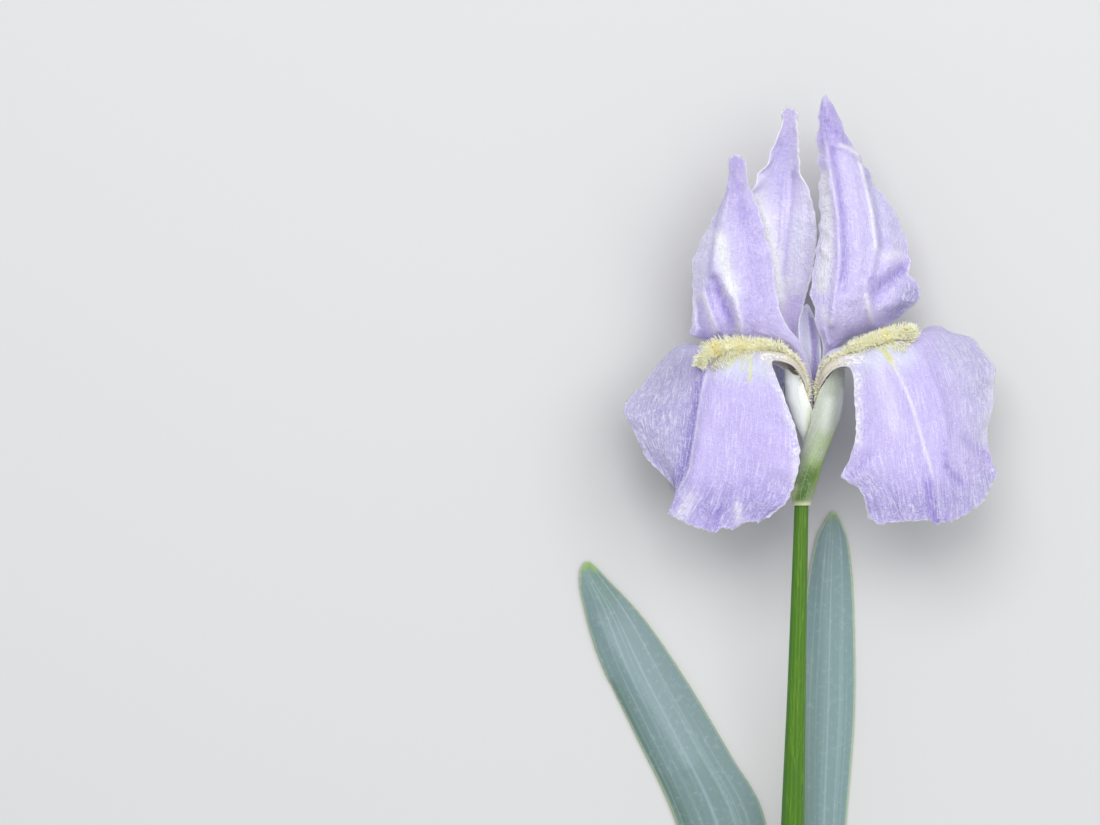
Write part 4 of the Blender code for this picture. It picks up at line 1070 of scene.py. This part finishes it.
# %% [markdown]
# ## Beards
#
# A beard is a dense brush of short fleshy hairs along the ridge of its fall, pale yellow with deeper
# yellow patches. The hairs fan out from the ridge. A sparser fringe of cream hairs runs on down the
# haft, the narrow part of the fall, to the throat.

# %% Hair material and one hair
skin = Skin("beard_hairs", 0.45)
grain = skin.noise("Object", 1800.0)
skin.mix(grain, 0.5, 0.7, 0.25, (1.0, 0.98, 0.85))
HAIR = skin.finish(grain, 0.3, 0.06, (0.5, (1.0, 0.95, 0.6), 0.5 * MM))
HAIR_SIDES = 3
HAIR_RINGS = 5


def grow_hairs(name, roots, directions, bends, lengths, radii, root_rgb, tip_rgb):
    """Lays one modelled hair out at every root and joins the copies into one mesh."""
    one = make_rod(name, HAIR_SIDES, HAIR_RINGS)
    ring, around = rod_places(one)
    faces = [list(p.vertices) for p in one.data.polygons]
    t = ring / (HAIR_RINGS - 1)
    count, size = len(roots), len(ring)
    side = unit(np.cross(directions, bends + np.array([0.01, 0.02, 0.03])))
    upper = np.cross(side, directions)
    core = (
        roots[:, None, :]
        + directions[:, None, :] * (lengths[:, None] * t)[..., None]
        + bends[:, None, :] * (lengths[:, None] * 0.45 * t**2)[..., None]
    )
    thin = radii[:, None] * (1.0 - 0.45 * t)
    spots = core + thin[..., None] * (
        side[:, None, :] * around[None, :, :1] + upper[:, None, :] * around[None, :, 1:]
    )
    old = one.data
    mesh = bpy.data.meshes.new(name)
    every = [[v + k * size for v in face] for k in range(count) for face in faces]
    mesh.from_pydata((spots.reshape(-1, 3) * MM + THROAT).tolist(), [], every)
    one.data = mesh
    bpy.data.meshes.remove(old)
    mix = np.tile(t, count)[:, None]
    tint = np.ones((count * size, 4))
    tint[:, :3] = np.repeat(root_rgb, size, axis=0) * (1 - mix) + np.repeat(tip_rgb, size, axis=0) * mix
    add_wash(mesh, tint)
    mesh.shade_smooth()
    mesh.materials.append(HAIR)
    return one


# %% [markdown]
# ## Where the hairs stand
#
# A brush of hairs stands in rows along a fall's ridge and fans out across it. Plush is shorter, and covers
# the upper side of the beard's soft core. Each hair gets its own small chances: where it stands, how it leans
# and bends, how long it is, and whether it has the deeper yellow of a patch. Its root is drawn a little
# darker than its tip, a painted shade between the hairs.

# %% Beard layout
RIDGE_PALE, RIDGE_DEEP = (255, 255, 214), (255, 236, 120)
PLUSH_PALE, PLUSH_DEEP = (255, 255, 220), (255, 232, 104)
CREAM, CREAM_DEEP = (255, 252, 222), (246, 236, 164)
CORE_YELLOW = (255, 248, 196)
ROOT_DEPTH = 0.08  # how far a hair's root goes into the fall


def hair_colours(rng, places, patches, pale, deep, most, least, shine):
    """A colour for each hair, between pale and deep. A patch is (middle, width, strength) along the
    places, and least is how much of it the palest hair there takes."""
    count = len(places)
    shade = rng.uniform(0.0, most, count)
    for middle, width, strength in patches:
        shade = np.maximum(shade, strength * hill(places - middle, width) * rng.uniform(least, 1, count))
    rgb = colour(*pale) * (1 - shade[:, None]) + colour(*deep) * shade[:, None]
    return rgb * rng.uniform(*shine, count)[:, None]


def hair_sizes(rng, count, length, radius, ragged):
    """A length and a radius for each hair. ragged is how unequal the lengths are."""
    return length * rng.uniform(1 - ragged, 1 + ragged, count), radius * rng.uniform(0.85, 1.15, count)


def brush_of_hairs(surface, mirror, seed, count, per_row, span, fan, length, radius, middle, spread,
                   pale, deep, patches=(), ragged=0.35):
    """Hairs on a fall's ridge, per_row across and the rows from span[0] to span[1] along it. They stand
    within spread of middle, across the sheet, and fan is their lean in degrees, from first to last."""
    rng = np.random.default_rng(seed)
    row, seat = np.divmod(np.arange(count), per_row)
    rows = count / per_row
    v = span[0] + (span[1] - span[0]) * (row + 0.5 * (seat % 2) + rng.normal(0, 0.12, count)) / rows
    v = np.clip(v, *span)
    across = (seat + 0.5) / per_row + rng.normal(0, 0.02, count)
    u = middle + spread * (2 * across - 1)
    roots = surface.read(u, v)
    along = unit(surface.read(u, v + 0.01) - roots)
    level = unit(np.cross(along, np.array([0, 0, 1.0]))) * mirror
    upper = unit(np.cross(level, along) * mirror)
    lean = np.radians(fan[0] + (fan[1] - fan[0]) * across + rng.normal(0, 40 * ragged, count))
    out = upper * np.cos(lean)[:, None] + level * np.sin(lean)[:, None]
    directions = unit(out + along * rng.normal(0.10, 0.06, count)[:, None])
    bends = unit(along * rng.normal(0.30, 0.2, count)[:, None] + level * np.sign(lean)[:, None] * 0.3
                 + rng.normal(0, 0.1, (count, 3)))
    lengths, radii = hair_sizes(rng, count, length, radius, ragged)
    ends = np.clip(np.minimum((v - span[0]) / 0.05, (span[1] - v) / 0.05), 0, 1)
    tips = hair_colours(rng, v, patches, pale, deep, 0.28, 0.4, (0.92, 1.0))
    lengths *= 0.55 + 0.45 * ends
    # The roots are drawn darker than the tips: a painted shade between the hairs.
    return roots - directions * ROOT_DEPTH, directions, bends, lengths, radii, 0.94 * tips, tips


def plush(stations, rows, per_row, fan, length, radius, seed, patches):
    """Short hairs all over the upper side of a beard's core. fan is their lean in degrees."""
    rng = np.random.default_rng(seed)
    route, thick = resample(stations, rows)
    tangent, side, upper = frames(route)
    row, seat = np.divmod(np.arange(rows * per_row), per_row)
    count = len(row)
    across = (seat + 0.5 * (row % 2)) / per_row + rng.normal(0, 0.015, count)
    lean = np.radians(fan[0] + (fan[1] - fan[0]) * across)
    out = upper[row] * np.cos(lean)[:, None] + side[row] * np.sin(lean)[:, None]
    directions = unit(out + tangent[row] * rng.normal(0.08, 0.08, count)[:, None])
    bends = unit(tangent[row] * 0.2 + rng.normal(0, 0.12, (count, 3)))
    roots = route[row] + directions * (thick[row] * 0.7)[:, None]
    lengths, radii = hair_sizes(rng, count, length, radius, 0.15)
    tips = hair_colours(rng, row / rows, patches, PLUSH_PALE, PLUSH_DEEP, 0.16, 0.3, (0.97, 1.03))
    # The roots are drawn darker than the tips: a painted shade between the hairs.
    return roots, directions, bends, lengths, radii, 0.97 * tips, tips


# %% [markdown]
# ## Make the beards
#
# Each beard is a soft core of (x, y, height, radius) stations, plush on it, dense hairs along the ridge,
# and two sparse fringes, one down the haft and one in the throat. All of it becomes one mesh.

# %% Make the beards
BEARDS = {
    "left_beard": {
        "surface": Surface(LEFT_FALL, RIDGE_SLACK), "mirror": 1, "seed": 71,
        "count": 836, "span": (0.235, 0.64), "fan": (-24, 74), "haft": (0.02, 0.27),
        "patches": [(0.47, 0.02, 1.0), (0.37, 0.01, 0.9)],
        "spots": [(0.58, 0.06, 0.95), (0.3, 0.03, 0.6)],
        "core": [
            (-9.5, 13.4, 7.1, 0.3), (-15, 13.9, 8.0, 1.0), (-20.5, 14.1, 8.5, 1.15),
            (-26, 13.0, 9.2, 1.0), (-29.6, 10.6, 10.5, 0.75), (-30.6, 8.4, 11.4, 0.4),
        ],
    },
    "right_beard": {
        "surface": Surface(RIGHT_FALL, RIDGE_SLACK), "mirror": -1, "seed": 72,
        "count": 836, "span": (0.27, 0.615), "fan": (-40, 98), "haft": (0.02, 0.30),
        "patches": [(0.42, 0.012, 0.9), (0.40, 0.01, 0.8)],
        "spots": [(0.5, 0.05, 0.8), (0.75, 0.04, 0.5)],
        "core": [
            (10.2, 13.1, 7.0, 0.3), (14.5, 14.8, 7.8, 0.9), (19.5, 16.5, 8.4, 1.05),
            (24.5, 17.7, 8.7, 0.95), (27.8, 17.7, 9.1, 0.5),
        ],
    },
    "back_beard": {
        "surface": Surface(BACK_FALL, RIDGE_SLACK), "mirror": 1, "seed": 73,
        "count": 396, "span": (0.25, 0.55), "fan": (-60, 75), "haft": (0.10, 0.26),
        "patches": (), "spots": (),
        "core": [
            (-5.0, 13.3, -13.4, 0.6), (-9.6, 15.7, -18.0, 1.0), (-15.4, 13.9, -23.3, 1.0),
            (-18.0, 9.8, -25.4, 0.6),
        ],
    },
}


THROAT_SPAN = (0.0, 0.13)
CORE_SIDES, CORE_RINGS = 12, 26


def core_tint(angle, reach):
    return np.tile([*colour(*CORE_YELLOW), 1.0], (len(angle), 1))


for name, beard in BEARDS.items():
    ridge, seed = (beard["surface"], beard["mirror"]), beard["seed"]
    dense = brush_of_hairs(*ridge, seed, beard["count"], 11, beard["span"], beard["fan"], 2.8, 0.13,
                           0.48, 0.06, RIDGE_PALE, RIDGE_DEEP, beard["patches"], ragged=0.08)
    haft = brush_of_hairs(*ridge, seed + 1, 720, 9, beard["haft"], (-30, 85), 1.5, 0.17,
                          0.5, 0.20, CREAM, CREAM_DEEP)
    throat = brush_of_hairs(*ridge, seed + 2, 180, 6, THROAT_SPAN, (-20, 88), 1.4, 0.16,
                            0.24, 0.20, CREAM, CREAM_DEEP)
    core = lay_rod(name + "_core", beard["core"], CORE_SIDES, CORE_RINGS, HAIR, core_tint)
    short = plush(beard["core"], 64, 15, (-98, 98), 1.5, 0.125, seed + 3, beard["spots"])
    hairs = grow_hairs(name + "_hairs", *map(np.concatenate, zip(dense, haft, throat, short)))
    solo(hairs)
    core.select_set(True)
    bpy.ops.object.join()
    settle(hairs, name)

# %% [markdown]
# ## Styles
#
# Above each fall arches a style arm, a small petal-like sheet. Only the middle one is in plain view,
# folded along its keel. They share the petals' skin, so they share their material.

# %% Cages of the style arms
STYLE_ARMS = {
    "left_style_arm": [
        [(-0.8, -3, 0.9), (-1.0, -3, 0.6), (-1.1, -3, 0.3), (-1.1, -3, 0.0), (-1.0, -3, -0.4)],
        [(-2.1, 6.2, 0.4), (-2.6, 7.0, 0.2), (-3.0, 7.4, -0.2), (-3.0, 7.0, -0.8), (-2.8, 6.2, -1.3)],
        [(-4.6, 11.0, 0.7), (-5.0, 11.9, 0.1), (-5.3, 12.2, -0.7), (-5.4, 11.8, -1.5), (-5.4, 11.0, -2.3)],
        [(-9.6, 13.0, -0.1), (-9.9, 13.6, -0.8), (-10.1, 13.8, -1.6), (-10.1, 13.4, -2.5),
         (-10.0, 12.6, -3.3)],
    ],
    "right_style_arm": [
        [(0.8, -3, 0.9), (1.0, -3, 0.6), (1.1, -3, 0.3), (1.1, -3, 0.0), (1.0, -3, -0.4)],
        [(1.3, 6.2, 1.8), (1.9, 7.2, 1.5), (2.3, 7.8, 0.9), (2.4, 7.6, 0.1), (2.2, 6.8, -0.5)],
        [(3.6, 11.0, 2.2), (4.2, 12.0, 1.8), (4.6, 12.4, 1.1), (4.8, 12.0, 0.4), (4.8, 11.2, -0.2)],
        [(8.6, 13.0, 2.2), (9.0, 13.8, 1.7), (9.3, 14.1, 0.9), (9.5, 13.8, 0.1), (9.6, 13.0, -0.7)],
    ],
    "middle_style_arm": [
        [(-0.9, -3, -0.2), (-0.5, -3, -0.5), (0.0, -3, -0.7), (0.5, -3, -0.5), (0.9, -3, -0.2)],
        [(-2.5, 8, -1.0), (-1.4, 8, -1.7), (-0.1, 8, -2.0), (1.2, 8, -1.7), (2.3, 8, -1.0)],
        [(-3.4, 15, -2.8), (-1.9, 15, -3.8), (-0.3, 15, -4.2), (1.1, 15, -3.8), (2.3, 15, -2.8)],
        [(-3.6, 20.5, -4.0), (-2.2, 20.7, -5.0), (-0.9, 21, -5.4), (0.2, 20.9, -5.0), (1.1, 20.4, -4.0)],
        [(-2.4, 24.4, -4.4), (-1.9, 25.0, -4.9), (-1.4, 25.4, -5.1), (-1.0, 25.1, -4.9), (-0.6, 24.4, -4.4)],
    ],
}
STYLE_WASHES = {
    "left_style_arm": [(GREY_VIOLET, 0.6, 3.0, [(-3, 4), (-9, 13)])],
    "right_style_arm": [(GREY_VIOLET, 0.6, 3.0, [(2, 4), (9, 13)])],
    "middle_style_arm": [
        ((190, 189, 212), 0.95, 1.2, [(-1.9, 24), (-2.0, 18), (-1.2, 10), (-0.6, 4)], (-0.1, 0.5)),
        # Painted shade: the right half of the folded keel is darker than the left.
        ((132, 122, 170), 0.95, 1.3, [(-0.4, 21), (0.8, 15), (0.9, 8), (0.3, 0)], (0.5, 1.1)),
        ((150, 140, 190), 0.7, 0.35, [(-0.8, 23), (0.2, 15), (0.3, 7), (0.1, 0)]),
    ],
}

# %% [markdown]
# ## Make the style arms
#
# They are smooth, so they need neither presses nor crimp, only a slight frill.

# %% Make the style arms
STYLE_BASE = (206, 202, 232)

for name, cage in STYLE_ARMS.items():
    points = shape_sheet(Surface(cage), (28, 70), {"frill": 0.06}, 81)
    tint = paint(points, STYLE_BASE, STYLE_WASHES[name], (NEAR_WHITE, 0.5, 0.4))
    settle(make_sheet(name + "_crest", points, tint, 0.3, PETAL), name)

# %% [markdown]
# ## Spathe
#
# Two papery valves wrap the tube and the ovary. The outer one starts as a full sleeve round the scape
# and opens upward on its left; the inner one fills that opening. Their cages are worked out from the
# spathe's outline, so that one valve always lies inside the other.

# %% Spathe cages
CUT_END_Y = -166.0
CUT_RADIUS = 3.7
NODE_Y = -29.3
VALVE_COLUMNS, VALVE_ROWS = 9, 10
ENVELOPE_Y = [-29.0, -26.5, -23.0, -18.0, -12.0, -8.0, -4.0, 0.0, 9.0]
ENVELOPE_X = [-2.8, -2.8, -1.65, -0.2, 1.0, 1.35, 1.35, 0.9, 0.8]
ENVELOPE_WIDE = [2.3, 2.9, 2.9, 2.9, 3.9, 5.3, 6.6, 7.8, 7.9]
ENVELOPE_DEEP = [2.3, 2.9, 2.9, 2.9, 3.5, 4.3, 5.1, 5.5, 5.7]


def stem_drop(y):
    """How far the scape's middle lies below the throat's level at y. It comes down in a slow curve."""
    reach = np.maximum((np.asarray(y, float) + 10.0) / (CUT_END_Y + 10.0), 0.0)
    return (THROAT_HEIGHT - CUT_RADIUS) * (0.55 * reach + 0.45 * reach**2)


def valve_cage(base_y, tops, starts, ends, inset, bulge):
    """Rows of a spathe valve. An angle is 0 towards the eye and 90 to the right. tops is the valve's
    upper margin across it, and starts and ends are its two side margins from base to top."""
    v, u = np.meshgrid(np.linspace(0, 1, VALVE_ROWS), np.linspace(0, 1, VALVE_COLUMNS), indexing="ij")
    y = base_y + (np.interp(u, np.linspace(0, 1, len(tops)), tops) - base_y) * v
    places = np.linspace(0, 1, len(starts))
    start, end = np.interp(v, places, starts), np.interp(v, places, ends)
    angle = np.radians(start + (end - start) * u)
    out = bulge * np.clip((y + 12.0) / 6.0, 0, 1)
    wide = np.interp(y, ENVELOPE_Y, ENVELOPE_WIDE) - inset + out
    deep = np.interp(y, ENVELOPE_Y, ENVELOPE_DEEP) - inset
    x = np.interp(y, ENVELOPE_Y, ENVELOPE_X) - out + wide * np.sin(angle)
    return np.stack([x, y, deep * np.cos(angle) - stem_drop(y)], axis=-1)


OUTER_VALVE = valve_cage(
    NODE_Y + 0.3,
    [-4.2, 2.0, 6.2, 8.4, 8.2, 7.0, 4.0, -0.5, -5.0],
    [-168, -168, -168, -150, -110, -74, -50, -32, -20, -12],
    [168, 168, 168, 168, 166, 164, 162, 160, 160, 160],
    0.0, 0.0,
)
INNER_VALVE = valve_cage(
    -17.0,
    [-4.8, 5.0, 6.6, 8.0, 7.6, 5.0, -1.6, -4.4, -6.0],
    [-10, -8, -6, -4, -2, 0, 0, 0, 0, -4],
    [-190, -190, -190, -190, -188, -186, -184, -182, -180, -180],
    0.85, 0.45,
)

# %% [markdown]
# ## Spathe skin and valves
#
# The valves are thin and papery, with fine lengthwise nerves. The outer one is green where it hugs the scape
# and fades to a greenish white, and the inner one is white almost all over. The inner one's white is lifted a
# little, painted light against the shade of the left fall above it, and it has a grey painted shadow under
# that fall.

# %% Spathe skin and valves
skin = Skin("spathe_papery", 0.45)
lines = skin.noise("UV", (40, 1.2, 1), 3.0)
cells = skin.noise("Object", 1500.0, 3.0)
skin.mix(lines, 0.50, 0.72, 0.20, colour(226, 236, 206))
skin.mix(lines, 0.48, 0.30, 0.25, colour(120, 150, 90))
skin.mix(cells, 0.5, 0.7, 0.12, WHITE)
relief = skin.plus(lines, skin.times(cells, 0.3))
SPATHE = skin.finish(relief, 0.4, 0.15, (0.3, (0.8, 1.0, 0.6), 1.0 * MM))
SPATHE_WHITE = (168, 174, 161)
# Painted light: the inner valve's white is lifted against the shade that the left fall casts on it.
INNER_WHITE = (232, 238, 232)
SPATHE_GREEN = (76, 110, 14)
OUTER_WASHES = [
    ((176, 200, 130), 0.8, 2.6, [(-1.6, -22), (0.6, -19)]),
    (SPATHE_GREEN, 1.0, 3.2, [(-3.4, -27), (-1.6, -23), (0.6, -20)]),
    ((66, 106, 24), 0.95, 0.8, [(-2.6, -26.5), (-1.4, -21.0), (-0.6, -18.6)]),
    ((120, 160, 60), 0.9, 0.7, [(0.6, -26), (1.9, -20), (4.4, -12.5)]),
    ((186, 200, 140), 0.8, 0.9, [(-5.4, -27.6), (-4.4, -24)]),
    ((206, 216, 168), 0.85, 0.9, [(-5, -28.8), (-0.6, -28.8)]),
    ((160, 184, 110), 0.7, 1.0, [(4.4, -12.6), (6.0, -9.4)]),
    ((196, 202, 206), 0.7, 0.8, [(8.2, 2), (7.2, -6)]),
    ((222, 229, 220), 0.5, 1.6, [(4.6, -1), (3.4, -8), (1.6, -15)]),
    ((146, 166, 112), 0.7, 2.4, [(0.2, -17), (2.6, -11)]),
]
INNER_WASHES = [
    ((176, 190, 110), 0.8, 1.8, [(-3.2, -13), (-2.6, -16)]),
    ((200, 206, 160), 0.6, 0.9, [(-4.6, -9), (-2.2, -13)]),
    # Painted shadow: grey at the top left, under the left fall.
    ((190, 196, 204), 0.8, 0.8, [(-6.8, 3), (-6.2, -3)]),
    ((206, 212, 196), 0.75, 0.9, [(-1.2, 1), (-0.8, -5), (-2.0, -12)]),
    ((176, 186, 140), 0.6, 0.5, [(-0.6, -3), (-1.0, -8), (-2.2, -14)]),
]
SPATHE_RIM = ((228, 234, 218), 0.6, 0.5)

for name, cage, base, washes in (
    ("outer_spathe", OUTER_VALVE, SPATHE_WHITE, OUTER_WASHES),
    ("inner_spathe", INNER_VALVE, INNER_WHITE, INNER_WASHES),
):
    points = shape_sheet(Surface(cage), (90, 90), {"frill": 0.05}, 91)
    tint = paint(points, base, washes, SPATHE_RIM)
    settle(make_sheet(name + "_valve", points, tint, 0.4, SPATHE), name)

# %% [markdown]
# ## Scape
#
# The flower's stalk is a firm, slightly ribbed rod, bright green in front and bluer on its shaded left
# side, cut straight across at its foot.

# %% Make the scape
SCAPE = [(x, y, -stem_drop(y), radius) for x, y, radius in (
    (-6.6, CUT_END_Y, CUT_RADIUS), (-5.2, -115.0, 3.15), (-4.2, -80.0, 2.5), (-3.4, -50.0, 2.1),
    (-2.83, -28.7, 1.85),
)]


def scape_ribs(angle):
    """Fourteen fine ribs and nine broader ones, out of step."""
    return 0.05 * np.sin(angle * 14) + 0.04 * np.sin(angle * 9 + 1.0)


def scape_tint(angle, reach):
    """Bright green, with a painted shade that makes the left flank darker and bluer, and pale ribs."""
    # Painted shade: the left flank is darker and bluer.
    left = smooth_step(0.45, 0.95, np.cos(angle - math.pi))
    rib = np.clip(np.sin(angle * 14 + 0.6), 0, 1)[:, None]
    layer = np.ones((len(angle), 4))
    body = colour(58, 106, 0) * (1 - reach[:, None]) + colour(66, 108, 0) * reach[:, None]
    body += (colour(98, 140, 24) - body) * 0.35 * rib
    body += (colour(50, 106, 10) - body) * 0.8 * left[:, None]
    layer[:, :3] = body
    return layer


skin = Skin("stem_green", 0.4)
lines = skin.noise("Object", (1600, 14, 1600), 3.0)
mottle = skin.noise("Object", (300, 60, 300), 3.0)
skin.mix(lines, 0.50, 0.70, 0.40, colour(110, 150, 34))
skin.mix(mottle, 0.50, 0.30, 0.40, colour(56, 100, 16))
STALK = skin.finish(lines, 0.35, 0.12, (0.15, (0.6, 1.0, 0.3), 1.2 * MM))
STALK_SIDES, STALK_RINGS = 64, 150
stalk = lay_rod("scape_stalk", SCAPE, STALK_SIDES, STALK_RINGS, STALK, scape_tint, scape_ribs)
settle(stalk, "stem")

# %% [markdown]
# ## Leaves
#
# The sword leaves are glaucous: a bloom of wax makes their green bluish grey. Parallel nerves run from
# the foot to the tip, and the rim is thin, bare and yellow green, most of all at the tip.

# %% Cages of the leaves
LEAF_Z = FLOOR + 0.6
LEFT_LEAF = [
    [(-17.0, -163, 0), (-15.4, -164, 0), (-13.9, -165, 0), (-12.4, -165.6, 0.5), (-10.3, -166, 1.4)],
    [(-27.5, -141, 0), (-22.8, -142, 0), (-18.2, -143, 0), (-14.0, -144, 0), (-10.8, -145, 0)],
    [(-38, -111, 0), (-32.8, -112, 1.2), (-27, -113, 1.6), (-20, -114, 1.2), (-12.8, -114, 0)],
    [(-48, -90, 0), (-42, -92, 1.4), (-36, -93.6, 1.8), (-29.6, -95.6, 1.4), (-22, -96.4, 0)],
    [(-57.4, -70, 0), (-51.6, -72, 1.2), (-46, -74, 1.6), (-40.6, -76, 1.2), (-34.4, -75.6, 0)],
    [(-62, -54, 0), (-57.6, -56, 0.7), (-53.4, -58, 0.9), (-49.6, -59.6, 0.7), (-45.4, -59.6, 0)],
    [(-62.7, -47.4, 0), (-61.2, -47.6, 0), (-59.4, -48, 0), (-57.6, -48, 0), (-56.0, -48, 0)],
    [(-61.9, -44.9, 0), (-61.4, -44.4, 0), (-60.7, -44.1, 0), (-60.0, -44.2, 0), (-59.4, -44.6, 0)],
]
RIGHT_LEAF = [
    [(-2.95, -166, 1.4), (-0.9, -165.6, 0.5), (1.4, -165, 0), (2.8, -164, 0), (4.2, -163, 0)],
    [(-2.4, -145, 0), (0.0, -145, 0), (2.4, -145, 0), (4.9, -145, 0), (7.2, -144, 0)],
    [(-3.6, -115, 0), (-0.4, -115, 0.8), (2.8, -115, 1.2), (6.2, -115, 0.8), (9.2, -114, 0)],
    [(-3.6, -84, 0), (0, -84, 1.0), (4, -84, 1.4), (7.8, -84, 1.0), (11.4, -84, 0)],
    [(-1.6, -55, 0), (1.6, -55, 0.9), (4.8, -55, 1.2), (8, -55, 0.9), (11.1, -55, 0)],
    [(0.8, -40, 0), (3.0, -40, 0.5), (5.3, -40, 0.7), (7.6, -40, 0.5), (9.8, -40, 0)],
    [(2.9, -34.4, 0), (4.2, -34, 0), (5.6, -33.8, 0), (7.0, -34, 0), (8.2, -34.4, 0)],
    [(4.6, -31.6, 0), (5.1, -31, 0), (5.7, -30.8, 0), (6.3, -31, 0), (6.9, -31.6, 0)],
]


def off_the_floor(cage):
    """Leaf cages give heights over LEAF_Z, the middle of a leaf that lies on the surface."""
    return np.asarray(cage, float) + np.array([0, 0, LEAF_Z])


# %% [markdown]
# ## Leaf skin and blades
#
# Broad pale bands and fine dark nerves run along the blade, under a mottled bloom. Each leaf also has
# its own presses, shallow waves along the blade, and its own washes.

# %% Leaf skin and blades
skin = Skin("leaf_glaucous", 0.5)
broad = skin.noise("UV", (16, 0.8, 1), 3.0)
fine = skin.noise("UV", (110, 2.0, 1), 3.0)
bloom = skin.noise("Object", 700.0, 4.0, 0.65)
skin.mix(broad, 0.48, 0.68, 0.35, colour(160, 182, 186))
skin.mix(fine, 0.50, 0.70, 0.40, colour(108, 136, 132))
skin.mix(bloom, 0.5, 0.75, 0.15, colour(184, 200, 202))
LEAF = skin.finish(skin.plus(fine, skin.times(bloom, 0.4)), 0.35, 0.15, sheen=0.15)
LEAF_BASE = (119, 146, 147)
LEAF_RIM = ((176, 198, 146), 0.8, 0.7)
LEAF_WASHES = {
    "left_leaf": [
        ((98, 128, 116), 0.85, 2.6, [(-53, -78), (-43.5, -98), (-33, -118), (-28, -130)]),
        ((112, 142, 134), 0.6, 0.8, [(-44, -84), (-30, -112)]),
        ((112, 142, 134), 0.6, 0.7, [(-38, -80), (-24, -110)]),
        ((138, 163, 168), 0.85, 5.0, [(-52, -64), (-44, -78), (-34, -96)]),
        ((108, 142, 132), 0.8, 2.6, [(-60, -47), (-54, -53)]),
        ((150, 190, 70), 0.9, 1.3, [(-61.8, -45.4), (-60.4, -44.3), (-58.6, -45.6)]),
        ((126, 150, 118), 0.7, 12.0, [(-14, -160), (-16, -166)]),
    ],
    "right_leaf": [
        ((126, 152, 144), 0.7, 1.6, [(5.7, -31.5), (5.5, -37)]),
        ((146, 178, 100), 0.9, 1.0, [(4.6, -31.8), (5.7, -30.8), (6.9, -31.8)]),
        ((134, 160, 150), 0.5, 3.0, [(-2, -70), (-2.4, -115)]),
        ((126, 150, 118), 0.7, 12.0, [(0, -160), (0, -166)]),
    ],
}
LEFT_WAVES = [(-0.5, 1.5, [(-55, -78), (-44, -98), (-30, -125)]), (0.4, 1.6, [(-58, -60), (-34, -100)])]
RIGHT_WAVES = [(0.3, 1.5, [(3, -45), (2, -120)])]

for name, cage, waves, depth in (
    ("left_leaf", LEFT_LEAF, LEFT_WAVES, 0.70),
    ("right_leaf", RIGHT_LEAF, RIGHT_WAVES, 0.82),
):
    points = shape_sheet(Surface(off_the_floor(cage)), (70, 240), {"presses": waves, "frill": 0.05}, 95)
    tint = paint(points, LEAF_BASE, LEAF_WASHES[name], LEAF_RIM)
    tint[..., :3] *= depth
    settle(make_sheet(name + "_blade", points, tint, 0.9, LEAF), name)

# %% [markdown]
# ## What stays from the frame
#
# The ovary, the tube and the stamens are hidden inside the spathe and under the style arms. Their plain
# solids stay, each with a plain skin of its own: one colour with soft spots of another.

# %% Skins of the kept nodes


def plain_skin(name, rgb, spots_rgb, scale, roughness):
    """One colour with soft spots of another."""
    skin = Skin(name, roughness, (*colour(*rgb), 1.0))
    grain = skin.noise("Object", scale, 4.0)
    skin.mix(grain, 0.42, 0.62, 1.0, colour(*spots_rgb))
    return skin.finish(grain, 0.4, 0.1)


POLLEN = plain_skin("anther_cream", (226, 218, 186), (240, 236, 214), 2200.0, 0.8)
KEPT = {
    "ovary": plain_skin("ovary_green", (128, 160, 80), (160, 186, 116), 600.0, 0.5),
    "perianth_tube": plain_skin("tube_pale", (196, 200, 170), (170, 178, 140), 600.0, 0.5),
    "left_stamen": POLLEN,
    "right_stamen": POLLEN,
    "back_stamen": POLLEN,
}
for name, better in KEPT.items():
    for slot in bpy.data.objects[name].material_slots:
        slot.material = better
    print(name, "takes", better.name)
